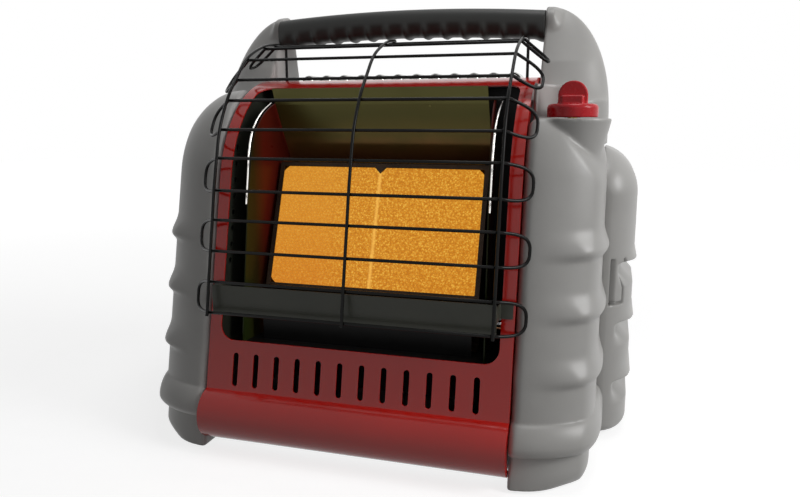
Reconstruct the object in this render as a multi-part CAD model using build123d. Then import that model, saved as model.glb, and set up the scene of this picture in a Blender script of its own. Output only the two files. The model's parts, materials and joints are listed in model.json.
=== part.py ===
from build123d import *
import math
import os

os.makedirs("parts", exist_ok=True)

# A portable propane heater. Millimetres, +Z up, the front faces -Y, and the origin is on the
# surface it stands on, at the middle of its width and depth.

# ---------------------------------------------------------------- driving dimensions
overall_height = 432.0      # to the top of the carry handle
overall_depth = 290.0       # kick plate to the back of the cylinder doors
core_half = 147.0           # half width of the steel core between the side casings
shell_reach = 69.0          # how far a side casing stands out from the core
door_reach = 100.0          # how far a cylinder door stands out from the core
body_height = 357.0         # top of the steel core
lean_deg = 12.0             # backward lean of the front
crown_radius = 120.0        # rounding of the core from front to top

sheet = 1.0                 # steel sheet
thin_sheet = 0.8            # firebox and reflector sheet
shell_wall = 3.0            # moulded casings and doors
fit_gap = 0.4               # between neighbouring casings
running = 0.05              # radial clearance of a running fit
hole_gap = 0.6              # radial clearance of a pass-through hole
ground_gap = 2.0            # casings stay this far above the ground

# front panel
face_set_back = 7.2         # front plane behind the kick plate's crest, at the ground
kick_bottom = 10.7
kick_crest_z = 34.0
kick_crease_z = 60.0
kick_foot_back = 20.0       # kick plate's lower edge behind its crest
window_half = 135.0
window_bottom = 107.0
window_top_back = 135.0     # the window's upper edge behind the kick plate's crest
window_corner = 14.0
panel_thick = 1.2
panel_tail = 20.0           # flat part of the panel behind the crown
flange_deep = 12.0
slot_count = 12
slot_span = 234.0
slot_width = 5.5
slot_low = 64.2
slot_high = 95.6

# side casings
seam_back = 137.0           # seam between casing and door, behind the kick plate's crest
foot_reach = 6.0            # flare of the foot beyond the casing's side
bay_roof = 291.0            # underside of the upright, top of the cylinder door
shoulder_left = 334.0
shoulder_right = 317.0
upright_front = 184.0       # behind the kick plate's crest
upright_back = 256.0
upright_drop = 8.0          # the uprights end this far below the grip's top
ridge_levels = (80.0, 140.0, 200.0)
ridge_proud = 4.5
door_levels = (61.0, 120.0, 180.0)
door_pinch = 8.0

# handle
grip_deep = 38.0
grip_tall = 31.0
grip_groove_count = 13
grip_groove_radius = 9.0
grip_groove_deep = 1.6
core_bar_radius = 9.0
handle_bolt_radius = 3.0

# burner
tile_width = 107.0
tile_tall = 127.0
tile_thick = 13.0
tile_lean_deg = 20.0
tile_bottom_z = 152.0
tile_stand = (18.0, 30.0)   # the burner's folded foot, behind the tiles' lower front edge
stand_half = 70.0
tile_set_back = 77.6        # tile's lower front edge behind the kick plate's crest
plenum_deep = 16.0
frame_rim = 3.0
firebox_back = 155.0        # behind the kick plate's crest
firebox_bottom = 101.0
firebox_top = 346.0
mixing_radius = 12.0
mixing_level = 210.0
duct_back = 26.0            # duct's axis behind the firebox
reflector_gap = 1.6         # between a tile's side and its reflector
reflector_flare = 0.455     # share of the gap to the window's edge that a reflector spans
pilot_inset = 9.0           # pilot hood inside the tiles' outer edge
lead_inset = 17.0           # thermocouple tip inside the tiles' outer edge
spark_inset = 1.0           # spark tip inside the tiles' outer edge
pilot_bracket_wide = 22.0

# guard
wire_radius = 1.5
guard_half = 135.0
guard_end_reach = 20.0
guard_end_back = 22.0
guard_leg_back = 26.0
guard_wires = ((-17.2, 139.8), (-11.4, 167.7), (-5.8, 195.8), (0.0, 224.1), (5.1, 251.1),
               (12.5, 280.5), (20.3, 306.6), (36.4, 333.6), (55.1, 353.6), (78.6, 374.0),
               (115.0, 388.0), (140.0, 392.0))
guard_datum = 25.0          # the guard's y values are counted from here, behind the crest
bar_bottom = 138.0
bar_top = 164.0
bar_half = 134.0
bar_back = 7.5              # the bar stands this far in front of the guard's datum
bar_leg_low = 147.0
bar_leg_high = 160.5
skirt_top = 138.0
skirt_ahead = 16.0

# gas train
knob_out = 36.0             # knob's axis beyond the core's side
knob_back = 120.0           # behind the kick plate's crest
knob_radius = 23.0
knob_travel = 4.0
knob_fin_wide = 26.4
knob_fin_thick = 10.0
knob_fin_tall = 28.5
knob_nose_wide = 15.2       # block in front of the fin
knob_nose_reach = 18.0
knob_nose_tall = 17.0
cup_gap = 6.0               # between the knob's skirt and the cup round it
cup_tall = 30.0
knob_hub_radius = 6.8
knob_hub_drop = 6.0         # the hub reaches this far below the knob's skirt
spring_radius = 5.4
spring_wire = 0.5
spring_turns = 5
stem_radius = 4.0
valve_floor = 248.0
valve_top = 298.0
regulator_out = 43.0        # regulator's axis beyond the core's side
regulator_back = 225.0      # behind the kick plate's crest
regulator_z = 258.0
regulator_radius = 18.0
trunnion_radius = 5.0
inlet_radius = 12.06        # minor radius of the 1 in - 20 cylinder thread
inlet_deep = 14.0
inlet_drop = 36.0           # swivel axis to the inlet's mouth
inlet_outer = 17.0
gas_tube_radius = 3.0
thin_tube_radius = 1.6
lead_radius = 1.2

# rear
door_overhang = 33.0        # cylinder doors reach this far behind the back panel
fan_z = 165.0
fan_radius = 47.0
fan_tip_gap = 3.0
fan_blades = 7
fan_hub_radius = 16.0
fan_ring_thick = 2.0
fan_lug_radius = 6.0
fan_screw_radius = 1.6
fan_guard_thick = 1.6
fan_guard_hub = 8.0
fan_guard_hoops = 3
fan_guard_overlap = 5.0     # outer hoop beyond the fan's tips
cell_radius = 16.8
cell_long = 61.0
hinge_radius = 2.5
knuckle_radius = 5.0

# ---------------------------------------------------------------- derived places
front_y = -overall_depth / 2
rear_y = overall_depth / 2
lean = math.radians(lean_deg)
slope = math.tan(lean)
shell_x = core_half + shell_reach
door_x = core_half + door_reach
upright_top = overall_height - upright_drop
knob_x = core_half + knob_out
regulator_x = core_half + regulator_out
crown_z = body_height - crown_radius
crown_y = front_y + face_set_back + slope * crown_z + crown_radius / math.cos(lean)
seam_y = front_y + seam_back
upright_y0 = front_y + upright_front
upright_y1 = front_y + upright_back
handle_y = (upright_y0 + upright_y1) / 2
grip_top = overall_height
grip_z = grip_top - grip_tall / 2
firebox_y = front_y + firebox_back
back_y = rear_y - door_overhang
duct_y = firebox_y + duct_back
knob_y = front_y + knob_back
regulator_y = front_y + regulator_back
plate_out = core_half - sheet - 1.0
plate_in = plate_out - sheet
hinge_x = core_half + 6.0
door_inner = hinge_x + knuckle_radius + 1.5
hinge_y = rear_y - knuckle_radius - 1.0
firebox_half = window_half + 1.0
pipe_lane = (firebox_half + plate_in) / 2
bar_y = front_y + guard_datum - bar_back


# ---------------------------------------------------------------- helpers
def face_y(z):
    """Y of the leaning front plane at height z."""
    return front_y + face_set_back + slope * z


def block(x0, x1, y0, y1, z0, z1):
    centre = Pos((x0 + x1) / 2, (y0 + y1) / 2, (z0 + z1) / 2)
    return centre * Box(x1 - x0, y1 - y0, z1 - z0)


def rod(start, end, radius):
    """A straight round bar from start to end."""
    line = Vector(*end) - Vector(*start)
    plane = Plane(origin=start, z_dir=line)
    return extrude(plane * Circle(radius), line.length)


def pipe(points, radius, bend, bore=0.0):
    """A bent round tube through the points, hollow where a bore is given."""
    path = FilletPolyline(*points, radius=bend)
    plane = Plane(origin=path @ 0, z_dir=path % 0)
    tube = sweep(plane * Circle(radius), path=path)
    if bore:
        tube -= sweep(plane * Circle(bore), path=path)
    return tube


def across(face, x0, x1):
    """Extrudes a face drawn in Y and Z from x0 to x1."""
    return Pos(x0, 0, 0) * extrude(Plane.YZ * face, x1 - x0)


def backwards(face, y0, y1):
    """Extrudes a face drawn in X and Z from y0 to y1."""
    plane = Plane(origin=(0, y0, 0), x_dir=(1, 0, 0), z_dir=(0, -1, 0))
    return extrude(plane * face, -(y1 - y0))


def polygon(points):
    return make_face(Polyline(*points, close=True))


def to_left(shape):
    return mirror(shape, about=Plane.YZ)


def screw(point, axis, radius, length, head_radius, head_tall):
    """A pan-head screw: its head stands on the point, and its shank goes the other way."""
    point, axis = Vector(*point), Vector(*axis)
    shank = rod(point, point - axis * length, radius)
    head = rod(point, point + axis * head_tall, head_radius)
    return shank + head


def save(node, shape):
    export_step(shape, f"parts/{node}.step")


def group(solids):
    return Compound(children=list(solids))


# ---------------------------------------------------------------- the core's sheet metal
def core_region(inset, tail):
    """Side outline of the core, moved inwards by inset and ending at the tail."""
    radius = crown_radius - inset
    shift = inset / math.cos(lean)
    foot = (front_y + kick_foot_back + inset, kick_bottom)
    crest = (front_y + inset, kick_crest_z)
    crease = (face_y(kick_crease_z) + shift, kick_crease_z)
    spring = (crown_y - radius * math.cos(lean), crown_z + radius * math.sin(lean))
    turn = math.radians(45)
    middle = (crown_y - radius * math.sin(turn), crown_z + radius * math.cos(turn))
    top = (crown_y, crown_z + radius)
    outline = ThreePointArc(foot, crest, crease) + Line(crease, spring)
    outline += ThreePointArc(spring, middle, top)
    outline += Polyline(top, (tail, top[1]), (tail, kick_bottom), foot)
    return make_face(outline)


def make_front_panel():
    half = core_half - fit_gap
    tail = crown_y + panel_tail
    skin = core_region(0, tail) - core_region(panel_thick, tail)
    panel = across(skin, -half, half)
    rim = core_region(0, tail) - core_region(flange_deep, tail)
    for side in (-1, 1):
        inner = side * (half - sheet)
        outer = side * half
        panel += across(rim, min(inner, outer), max(inner, outer))
    height = crown_z - window_bottom + window_corner
    lower = RectangleRounded(2 * window_half, height, window_corner)
    lower_z = window_bottom + height / 2
    panel -= backwards(Pos(0, lower_z) * lower, front_y - 10, crown_y)
    upper_end = front_y + window_top_back
    upper_deep = upper_end - (front_y - 20)
    upper = RectangleRounded(2 * window_half, upper_deep, window_corner)
    panel -= Pos(0, upper_end - upper_deep / 2, crown_z) * extrude(upper, body_height - crown_z + 5)
    pitch = slot_span / (slot_count - 1)
    for index in range(slot_count):
        x = -slot_span / 2 + index * pitch
        slot = Rot(0, 0, 90) * SlotOverall(slot_high - slot_low, slot_width)
        middle = (slot_low + slot_high) / 2
        panel -= backwards(Pos(x, middle) * slot, front_y - 10, face_y(slot_high) + 8)
    return panel


plate_front = 16.0          # side plates start this far behind the panel's skin
plate_back = rear_y - knuckle_radius * 2 - 4
tube_holes = ((seam_y + 48.0, bay_roof + 15.0), (knob_y - 13.0, valve_floor + 40.0),
              (knob_y - 1.0, valve_floor + 8.0), (knob_y + 5.0, valve_floor + 14.0),
              (knob_y - 7.0, valve_floor + 20.0))
bolt_levels = (30.0, 120.0, 210.0, 300.0)
hinge_levels = (45.0, 235.0)
knuckle_long = 28.0
ear_long = 9.0


def make_side_plate():
    """Right chassis plate: the inner wall of the cylinder bay, with the door's hinge ears."""
    region = core_region(plate_front, plate_back)
    plate = across(region, plate_in, plate_out)
    for y, z in tube_holes:
        reach = gas_tube_radius + hole_gap
        plate -= rod((plate_in - 1, y, z), (plate_out + 1, y, z), reach)
    for z in bolt_levels:
        y = face_y(z) + 40
        plate -= rod((plate_in - 1, y, z), (plate_out + 1, y, z), 2.2)
    for level in hinge_levels:
        for low in (level - ear_long - fit_gap, level + knuckle_long + fit_gap):
            ear = block(plate_in, hinge_x, plate_back - 6, plate_back, low, low + ear_long)
            ear += block(hinge_x - 3, hinge_x + 3, plate_back - 6, hinge_y, low, low + ear_long)
            ear += rod((hinge_x, hinge_y, low), (hinge_x, hinge_y, low + ear_long), knuckle_radius)
            plate += ear
    pin_path = rod((hinge_x, hinge_y, 0), (hinge_x, hinge_y, body_height), hinge_radius + 0.02)
    return plate - pin_path


def make_hinge_pin():
    low = hinge_levels[0] - ear_long - 2
    high = hinge_levels[-1] + knuckle_long + ear_long + 2
    return rod((hinge_x, hinge_y, low), (hinge_x, hinge_y, high), hinge_radius)


pan_z = 8.0
pan_half = plate_in - 0.3


def make_base_pan():
    front = front_y + kick_foot_back + panel_thick + 6
    rear = back_y - 0.5
    pan = block(-pan_half, pan_half, front, rear, pan_z, pan_z + sheet)
    for side in (-1, 1):
        low, high = sorted((side * pan_half, side * (pan_half - sheet)))
        pan += block(low, high, front, rear, pan_z, pan_z + 14)
    pan += block(-pan_half, pan_half, front, front + sheet, pan_z, pan_z + 14)
    return pan


foot_x = 118.0
foot_front = 55.0
foot_radius = 12.0


def make_foot_pads():
    pads = []
    for x in (-foot_x, foot_x):
        for y in (front_y + foot_front, back_y - 22):
            pads.append(rod((x, y, 0), (x, y, pan_z), foot_radius))
    return group(pads)


switch_x = -96.0
switch_z = 250.0
switch_pivot_y = back_y + sheet - 2.0
switch_pin_radius = 1.2
jack_x = 96.0
jack_z = 100.0
battery_half = 2 * cell_long / 2 + 6
battery_floor = pan_z + sheet
battery_roof = battery_floor + 2 * cell_radius + 5
battery_deep = 4 * cell_radius + 6
battery_pin_y = back_y + sheet + 4.2
battery_pin_z = battery_roof + 4.5
battery_pin_radius = 1.5
battery_barrel = 3.2
screw_half = plate_in - 6


def make_back_panel():
    panel = block(-pan_half, pan_half, back_y, back_y + sheet, pan_z, body_height - 6)
    for side in (-1, 1):
        low, high = sorted((side * pan_half, side * (pan_half - sheet)))
        panel += block(low, high, back_y - 10, back_y, pan_z + 16, body_height - 6)
    panel -= rod((0, back_y - 2, fan_z), (0, back_y + 5, fan_z), fan_radius + fan_tip_gap)
    for x, z in fan_screw_places():
        panel -= rod((x, back_y - 1, z), (x, back_y + 5, z), fan_screw_radius + 0.2)
    inner = battery_half - 2
    panel -= block(-inner, inner, back_y - 1, back_y + 5, battery_floor + 1.5, battery_roof - 1.5)
    panel -= block(switch_x - 7, switch_x + 7, back_y - 1, back_y + 5, switch_z - 11, switch_z + 11)
    panel -= rod((jack_x, back_y - 1, jack_z), (jack_x, back_y + 5, jack_z), 5.2)
    for row in range(5):
        z = 275 + row * 12
        for x in (-60, 0, 60):
            slot = Pos(x, z) * SlotOverall(44, 4)
            panel -= backwards(slot, back_y - 1, back_y + 5)
    for x, z in back_screw_places():
        panel -= rod((x, back_y - 1, z), (x, back_y + 5, z), 2.1)
    for x in (-battery_half + 4, battery_half - 4):
        ear = block(x - 3, x + 3, back_y + sheet, battery_pin_y, battery_pin_z - 3, battery_pin_z + 3)
        ear += rod((x - 3, battery_pin_y, battery_pin_z), (x + 3, battery_pin_y, battery_pin_z), 3)
        end = (battery_half, battery_pin_y, battery_pin_z)
        ear -= rod((-battery_half, battery_pin_y, battery_pin_z), end, battery_pin_radius + 0.02)
        panel += ear
    return panel


def back_screw_places():
    places = []
    for x in (-screw_half, screw_half):
        for z in (40, 130, 220, 320):
            places.append((x, z))
    return places


def make_back_screws():
    screws = []
    for x, z in back_screw_places():
        screws.append(screw((x, back_y + sheet, z), (0, 1, 0), 2.0, 8, 4.0, 2.4))
    return group(screws)


vent_count = 12
vent_span = 232.0
vent_radius = 8.0
vent_deep = 30.0
cover_y0 = crown_y + panel_tail + fit_gap


def make_top_cover():
    """Top plate with a row of raised, rounded vents that open at the back."""
    half = core_half - fit_gap
    cover = block(-half, half, cover_y0, back_y + 5, body_height - sheet, body_height)
    cover += block(-half, half, back_y + 5 - sheet, back_y + 5, body_height - 14, body_height)
    pitch = vent_span / (vent_count - 1)
    y0 = cover_y0 + 6 + vent_radius
    inner = vent_radius - sheet
    for index in range(vent_count):
        x = -vent_span / 2 + index * pitch
        hood = rod((x, y0, body_height), (x, y0 + vent_deep, body_height), vent_radius)
        hood += Pos(x, y0, body_height) * Sphere(vent_radius)
        hollow = rod((x, y0, body_height), (x, y0 + vent_deep + 1, body_height), inner)
        hollow += Pos(x, y0, body_height) * Sphere(inner)
        low = block(x - 20, x + 20, y0 - 20, y0 + vent_deep + 5, body_height - 20, body_height - sheet)
        cover = cover + (hood - low) - hollow
    return cover


# ---------------------------------------------------------------- side casings and doors
def casing_front_face():
    """Outline of the right casing seen from the front, with its ridges."""
    points = [(core_half, ground_gap), (shell_x - 2, ground_gap), (shell_x + foot_reach, 14)]
    points.append((shell_x + foot_reach, 36))
    for level in ridge_levels:
        points.append((shell_x, level - 20))
        points.append((shell_x + ridge_proud, level))
        points.append((shell_x, level + 10))
    waist = (shell_x - 4, shoulder_right)
    points.append((shell_x, 250))
    points.append(waist)
    top = (core_half + 19, upright_top)
    bulge = (shell_x - 16, upright_top - 40)
    outline = Polyline(*points) + ThreePointArc(waist, bulge, top)
    outline += Polyline(top, (core_half, upright_top), (core_half, ground_gap))
    return make_face(outline)


def casing_side_face(shoulder):
    """Outline of a casing seen from the side: front lobe, shoulder and upright."""
    toe = face_y(0) + 14.8
    fall = crown_radius - (body_height - shoulder)
    reach = math.sqrt(crown_radius ** 2 - fall ** 2)
    spring = (crown_y - crown_radius * math.cos(lean), crown_z + crown_radius * math.sin(lean))
    turn = (math.asin(fall / crown_radius) + lean) / 2
    middle = (crown_y - crown_radius * math.cos(turn), crown_z + crown_radius * math.sin(turn))
    brow = (crown_y - reach, shoulder)
    outline = Polyline((toe, ground_gap), (face_y(14) + 3, 14), (face_y(36) + 1, 36), spring)
    outline += ThreePointArc(spring, middle, brow)
    outline += Polyline(
        brow, (upright_y0 - 18, shoulder), (upright_y0 - 5, shoulder + 22),
        (upright_y0, upright_top - 10), (upright_y0 + 10, upright_top),
        (upright_y1 - 14, upright_top), (upright_y1, upright_top - 14),
        (upright_y1 + 8, bay_roof), (seam_y, bay_roof), (seam_y, ground_gap), (toe, ground_gap))
    return make_face(outline)


def casing_plan_face():
    """Outline of the right casing seen from above, at the ground."""
    outer = shell_x + foot_reach + 1
    start = (core_half, face_y(0))
    middle = (core_half + 0.7 * (outer - core_half), face_y(0) + 24)
    end = (outer, face_y(0) + 80)
    outline = ThreePointArc(start, middle, end)
    outline += Polyline(end, (outer, rear_y + 60), (core_half, rear_y + 60), start)
    return make_face(outline)


def casing_solid(inset, shoulder):
    def shrunk(face):
        return offset(face, amount=-inset) if inset else face

    front = backwards(shrunk(casing_front_face()), front_y - 30, rear_y + 30)
    side = across(shrunk(casing_side_face(shoulder)), core_half, shell_x + 40)
    rise = upright_top / math.cos(lean) + 60
    plan = extrude(shrunk(casing_plan_face()), rise, dir=(0, slope, 1))
    plan = Pos(0, -slope * 10, -10) * plan
    return front & side & plan


def casing_screw_places():
    return [(face_y(z) + 40, z) for z in bolt_levels]


boss_radius = 5.0


def make_side_shell(shoulder, with_knob):
    """Right casing: a moulded skin, open inboard below the shoulder."""
    outer = casing_solid(0, shoulder)
    inner = casing_solid(shell_wall, shoulder)
    open_side = across(offset(casing_side_face(shoulder), amount=-shell_wall),
                       core_half - 1, core_half + shell_wall + 1)
    open_side &= block(core_half - 2, core_half + 20, front_y - 10, rear_y, 0, bay_roof + 20)
    shell = outer - inner - open_side
    for y, z in casing_screw_places():
        boss = rod((core_half, y, z), (core_half + 12, y, z), boss_radius)
        web = block(core_half, core_half + 12, face_y(z) + 3, y, z - 1.5, z + 1.5)
        shell += (boss + web) & outer
        shell -= rod((core_half - 1, y, z), (core_half + 10, y, z), 1.8)
    bolt = handle_bolt_radius + 0.2
    shell -= rod((core_half - 1, handle_y, grip_z), (core_half + 8, handle_y, grip_z), bolt)
    line_radius = gas_tube_radius + hole_gap
    if with_knob:
        inner = knob_radius + cup_gap
        cup = Cylinder(inner + shell_wall, cup_tall) - Cylinder(inner, cup_tall + 2)
        cup &= Pos(-15, 15, 0) * Box(50, 50, cup_tall)
        cup = Pos(knob_x, knob_y, shoulder + cup_tall / 2) * cup
        shell += cup - block(0, core_half, front_y, rear_y, 0, overall_height)
        hub_hole = knob_hub_radius + hole_gap
        shell -= rod((knob_x, knob_y, shoulder - 5), (knob_x, knob_y, shoulder + 3), hub_hole)
        at = regulator_x
        shell -= rod((at, seam_y - 5, regulator_z), (at, seam_y + 2, regulator_z), line_radius)
    else:
        at = (regulator_x, seam_y + 48)
        shell -= rod((*at, bay_roof - 1), (*at, bay_roof + 5), line_radius)
    return shell


def door_front_face():
    points = [(door_inner, 6), (door_x - 8, 5), (door_x + 2, 15)]
    for level in door_levels:
        points.append((door_x, level - 16))
        points.append((door_x - door_pinch, level - 3))
        points.append((door_x, level + 3))
    points.append((door_x, 230))
    shoulder = (door_x - 4, 252)
    top = (door_x - 28, bay_roof - fit_gap)
    outline = Polyline(*points, shoulder)
    outline += ThreePointArc(shoulder, (door_x - 11, 278), top)
    outline += Polyline(top, (door_inner, bay_roof - fit_gap), points[0])
    return make_face(outline)


def door_plan_face():
    front = seam_y + fit_gap
    start = (shell_x - 3, front)
    side = (door_x + 2, front + 52)
    corner = (door_x + 2, rear_y - 40)
    back = (door_x - 36, rear_y)
    outline = Line((door_inner, front), start)
    outline += ThreePointArc(start, (door_x - 8, front + 16), side)
    outline += Line(side, corner)
    outline += ThreePointArc(corner, (door_x - 9, rear_y - 10), back)
    outline += Polyline(back, (door_inner, rear_y), (door_inner, front))
    return make_face(outline)


latch_low = 139.0
latch_high = 184.0
latch_wide = 12.0
latch_slit = 1.6


def make_door():
    """Right cylinder door, open inboard, towards the casing and at the bottom."""
    outer = backwards(door_front_face(), front_y, rear_y + 1)
    outer &= extrude(door_plan_face(), bay_roof)
    in_front = offset(door_front_face(), amount=-shell_wall)
    in_plan = offset(door_plan_face(), amount=-shell_wall)
    tall = Pos(0, 0, -1) * extrude(in_plan, bay_roof)
    hollow = backwards(in_front, front_y, rear_y + 1) & tall
    front = seam_y + fit_gap
    inner_x = door_inner
    hollow += block(inner_x - 1, door_x - shell_wall - door_pinch - 6, front + 14,
                    rear_y - shell_wall, 0, 20)
    hollow += block(inner_x - 1, inner_x + 5, front - 1, rear_y - shell_wall, 0,
                    bay_roof - shell_wall - fit_gap)
    hollow += block(inner_x - 1, shell_x - 6, front - 1, front + 20, 0, bay_roof + 1)
    hollow += block(inner_x - 1, shell_x - 4, front - 1, upright_y1 + 9, bay_roof - 12, bay_roof + 1)
    door = outer - hollow
    for level in hinge_levels:
        barrel = rod((hinge_x, hinge_y, level), (hinge_x, hinge_y, level + knuckle_long), knuckle_radius)
        web = block(hinge_x, door_inner + 8, hinge_y + 1, rear_y, level, level + knuckle_long)
        door += barrel + web
    bore = hinge_radius + running
    door -= rod((hinge_x, hinge_y, 0), (hinge_x, hinge_y, bay_roof), bore)
    middle = (latch_low + latch_high) / 2
    y0 = front + 3
    slit = Rectangle(latch_wide, latch_high - latch_low) - Pos(0, latch_slit) * Rectangle(
        latch_wide - 2 * latch_slit, latch_high - latch_low)
    door -= across(Pos(y0 + latch_wide / 2, middle) * slit, shell_x - 10, door_x + 10)
    return door


# ---------------------------------------------------------------- carry handle
def make_handle_core():
    half = core_half - 0.2
    bar = rod((-half, handle_y, grip_z), (half, handle_y, grip_z), core_bar_radius)
    for side in (-1, 1):
        start = (side * (half + 1), handle_y, grip_z)
        end = (side * (half - 24), handle_y, grip_z)
        bar -= rod(start, end, handle_bolt_radius + 0.02)
    return bar


def make_grip():
    half = core_half - 1.5
    outline = RectangleRounded(grip_deep, grip_tall, grip_tall * 0.42)
    grip = across(Pos(handle_y, grip_z) * outline, -half, half)
    pitch = 2 * half / (grip_groove_count + 1)
    low = grip_z - grip_tall / 2
    for index in range(1, grip_groove_count + 1):
        x = -half + index * pitch
        z = low - grip_groove_radius + grip_groove_deep
        grip -= rod((x, handle_y - grip_deep, z), (x, handle_y + grip_deep, z), grip_groove_radius)
    end = (half + 1, handle_y, grip_z)
    return grip - rod((-half - 1, handle_y, grip_z), end, core_bar_radius + 0.03)


def make_handle_bolts():
    bolts = []
    for side in (-1, 1):
        at = (side * (core_half + shell_wall), handle_y, grip_z)
        bolts.append(screw(at, (side, 0, 0), handle_bolt_radius, 24, 4.2, 3.6))
    return group(bolts)


def make_shell_screws():
    """Screws from the core through the side plates into the casings' bosses."""
    screws = []
    for side in (-1, 1):
        for y, z in casing_screw_places():
            screws.append(screw((side * plate_in, y, z), (-side, 0, 0), 1.8, 11, 3.4, 2.2))
    return group(screws)


# ---------------------------------------------------------------- firebox and burner
tile_lean = math.radians(tile_lean_deg)
tile_y = front_y + tile_set_back


def tilted(shape):
    """Places a shape, drawn with its front on X-Z and its foot at the origin, on the tiles' plane."""
    return Pos(0, tile_y, tile_bottom_z) * (Rot(-tile_lean_deg, 0, 0) * shape)


def make_firebox():
    skin = core_region(panel_thick + 0.3, firebox_y)
    zone = block(-firebox_half, firebox_half, front_y, firebox_y, firebox_bottom - thin_sheet,
                 firebox_top + thin_sheet)
    box = across(skin, -firebox_half, firebox_half) & zone
    inner = firebox_half - thin_sheet
    box -= block(-inner, inner, front_y - 1, firebox_y - thin_sheet, firebox_bottom, firebox_top)
    for row in range(9):
        z = 180 + row * 15.5
        y = face_y(z) + 10
        box -= rod((-firebox_half - 1, y, z), (firebox_half + 1, y, z), 2.6)
    hole = mixing_radius + hole_gap
    box -= rod((0, firebox_y - 3, mixing_level), (0, firebox_y + 2, mixing_level), hole)
    for y, z in service_ports():
        box -= rod((inner - 2, y, z), (firebox_half + 2, y, z), thin_tube_radius + hole_gap)
    return box


def make_canopy():
    """Polished hood over the tiles, leaning forward and up to the firebox's roof."""
    low = (front_y + 143.0, 273.7)
    high = (front_y + 110.0, 330.6)
    lip = (front_y + 103.0, firebox_top)
    points = [low, high, lip, (lip[0] + 1.2, firebox_top), (high[0] + 1.1, high[1] + 0.6)]
    points.append((low[0] + 1.1, low[1] + 0.6))
    half = tile_width + 1.0
    return across(polygon(points), -half, half)


def make_side_reflector():
    """Right polished plate beside the tiles, flaring towards the front."""
    edge_low = (face_y(firebox_bottom) + 16, firebox_bottom)
    edge = (face_y(tile_bottom_z + 80) + 5, tile_bottom_z + 80)
    bend = (face_y(290) + 4, 290.0)
    top = (front_y + 124.0, 333.5)
    back = front_y + 146.0
    outline = Polyline(edge_low, edge, bend)
    outline += ThreePointArc(bend, (front_y + 82.0, 307.0), top)
    outline += Polyline(top, (back, 335), (back, firebox_bottom), edge_low)
    side = across(make_face(outline), tile_width, window_half)
    inner = tile_width + reflector_gap
    flare = reflector_flare * (window_half - inner)
    plan = [(inner, back), (inner + flare, face_y(firebox_bottom))]
    plan += [(inner + flare + 1, face_y(firebox_bottom)), (inner + 1, back)]
    plate = side & extrude(polygon(plan), body_height)
    for y, z in service_ports():
        plate -= rod((tile_width - 5, y, z), (window_half + 5, y, z), thin_tube_radius + hole_gap)
    return plate


def make_tile(side):
    tile = block(0.2, tile_width - 0.2, 0, tile_thick, 0, tile_tall)
    tile = tilted(tile)
    return tile if side > 0 else to_left(tile)


def make_plenum():
    outer = block(-tile_width, tile_width, tile_thick, tile_thick + plenum_deep, 0, tile_tall)
    wall = thin_sheet
    inner = block(-tile_width + wall, tile_width - wall, tile_thick - 1,
                  tile_thick + plenum_deep - wall, wall, tile_tall - wall)
    box = tilted(outer - inner)
    hole = rod((0, tile_y + 10, mixing_level), (0, firebox_y, mixing_level), mixing_radius + 0.1)
    near, far = tile_stand
    stand = block(-stand_half, stand_half, tile_y + near, tile_y + far, firebox_bottom,
                  tile_bottom_z + 4)
    stand -= block(-stand_half + wall, stand_half - wall, tile_y + near + wall,
                   tile_y + far - wall, firebox_bottom - 1, tile_bottom_z + 5)
    under = tilted(block(-200, 200, -100, 100, 0, 200))
    return box - hole + (stand - under)


def make_tile_frame():
    """Sheet rim that holds the tiles to the plenum, with a notch at the top centre."""
    rim = frame_rim
    outer = block(-tile_width - rim + 1.6, tile_width + rim - 1.6, -1.2, tile_thick + 6, -1.2,
                  tile_tall + 1.2)
    inner = block(-tile_width - 0.2, tile_width + 0.2, -3, tile_thick + 8, -0.2, tile_tall + 0.2)
    lip = block(-tile_width - 1, tile_width + 1, -1.2, -0.2, 0, tile_tall)
    lip -= block(-tile_width + rim, tile_width - rim, -3, 3, rim, tile_tall - rim)
    tab = Plane.XZ * polygon([(-6, tile_tall - rim), (6, tile_tall - rim), (0, tile_tall - rim - 6)])
    tab = Pos(0, -0.2, 0) * extrude(tab, 1.0)
    return tilted(outer - inner + lip + tab)


def make_mixing_tube():
    start = tile_y + 33.0
    points = [(0, start, mixing_level), (0, duct_y, mixing_level), (78, duct_y, mixing_level)]
    tube = pipe(points, mixing_radius, 16, mixing_radius - 1.2)
    bell = rod((66, duct_y, mixing_level), (78, duct_y, mixing_level), mixing_radius + 3)
    bell -= rod((65, duct_y, mixing_level), (79, duct_y, mixing_level), mixing_radius - 1.2)
    under = tilted(block(-200, 200, -100, tile_thick + plenum_deep - 0.8, -200, 400))
    return tube + bell - under


orifice_end = 100.0


def make_orifice():
    """Brass orifice holder with its bracket on the firebox's back wall."""
    jet = rod((84, duct_y, mixing_level), (orifice_end, duct_y, mixing_level), 6)
    jet += rod((79, duct_y, mixing_level), (84, duct_y, mixing_level), 3)
    jet += block(88, 96, firebox_y, duct_y, mixing_level - 5, mixing_level + 5)
    return jet


def service_ports():
    """Where the pilot tube, thermocouple lead and spark lead enter the firebox."""
    return [(tile_y + 9.0, firebox_bottom + 27.0), (tile_y + 15.0, firebox_bottom + 21.0),
            (tile_y + 3.0, firebox_bottom + 33.0)]


def service_line(index, tip_x, rise, radius):
    """A thin line from the gas valve, down beside the firebox, in to the pilot and up."""
    y, z = tube_holes[2 + index]
    port_y, port_z = service_ports()[index]
    lane = pipe_lane
    points = [(knob_x - 15, y, z), (lane, y, z), (lane, y, port_z), (lane, port_y, port_z)]
    points += [(tip_x, port_y, port_z), (tip_x, port_y, port_z + rise)]
    return pipe(points, radius, 2.6)


def make_pilot_burner():
    y, z = service_ports()[0]
    x = tile_width - pilot_inset
    hood = rod((x, y, z + 5), (x, y, z + 16), 4.0)
    hood -= rod((x, y - 6, z + 12), (x, y + 2, z + 12), 1.8)
    return hood


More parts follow.
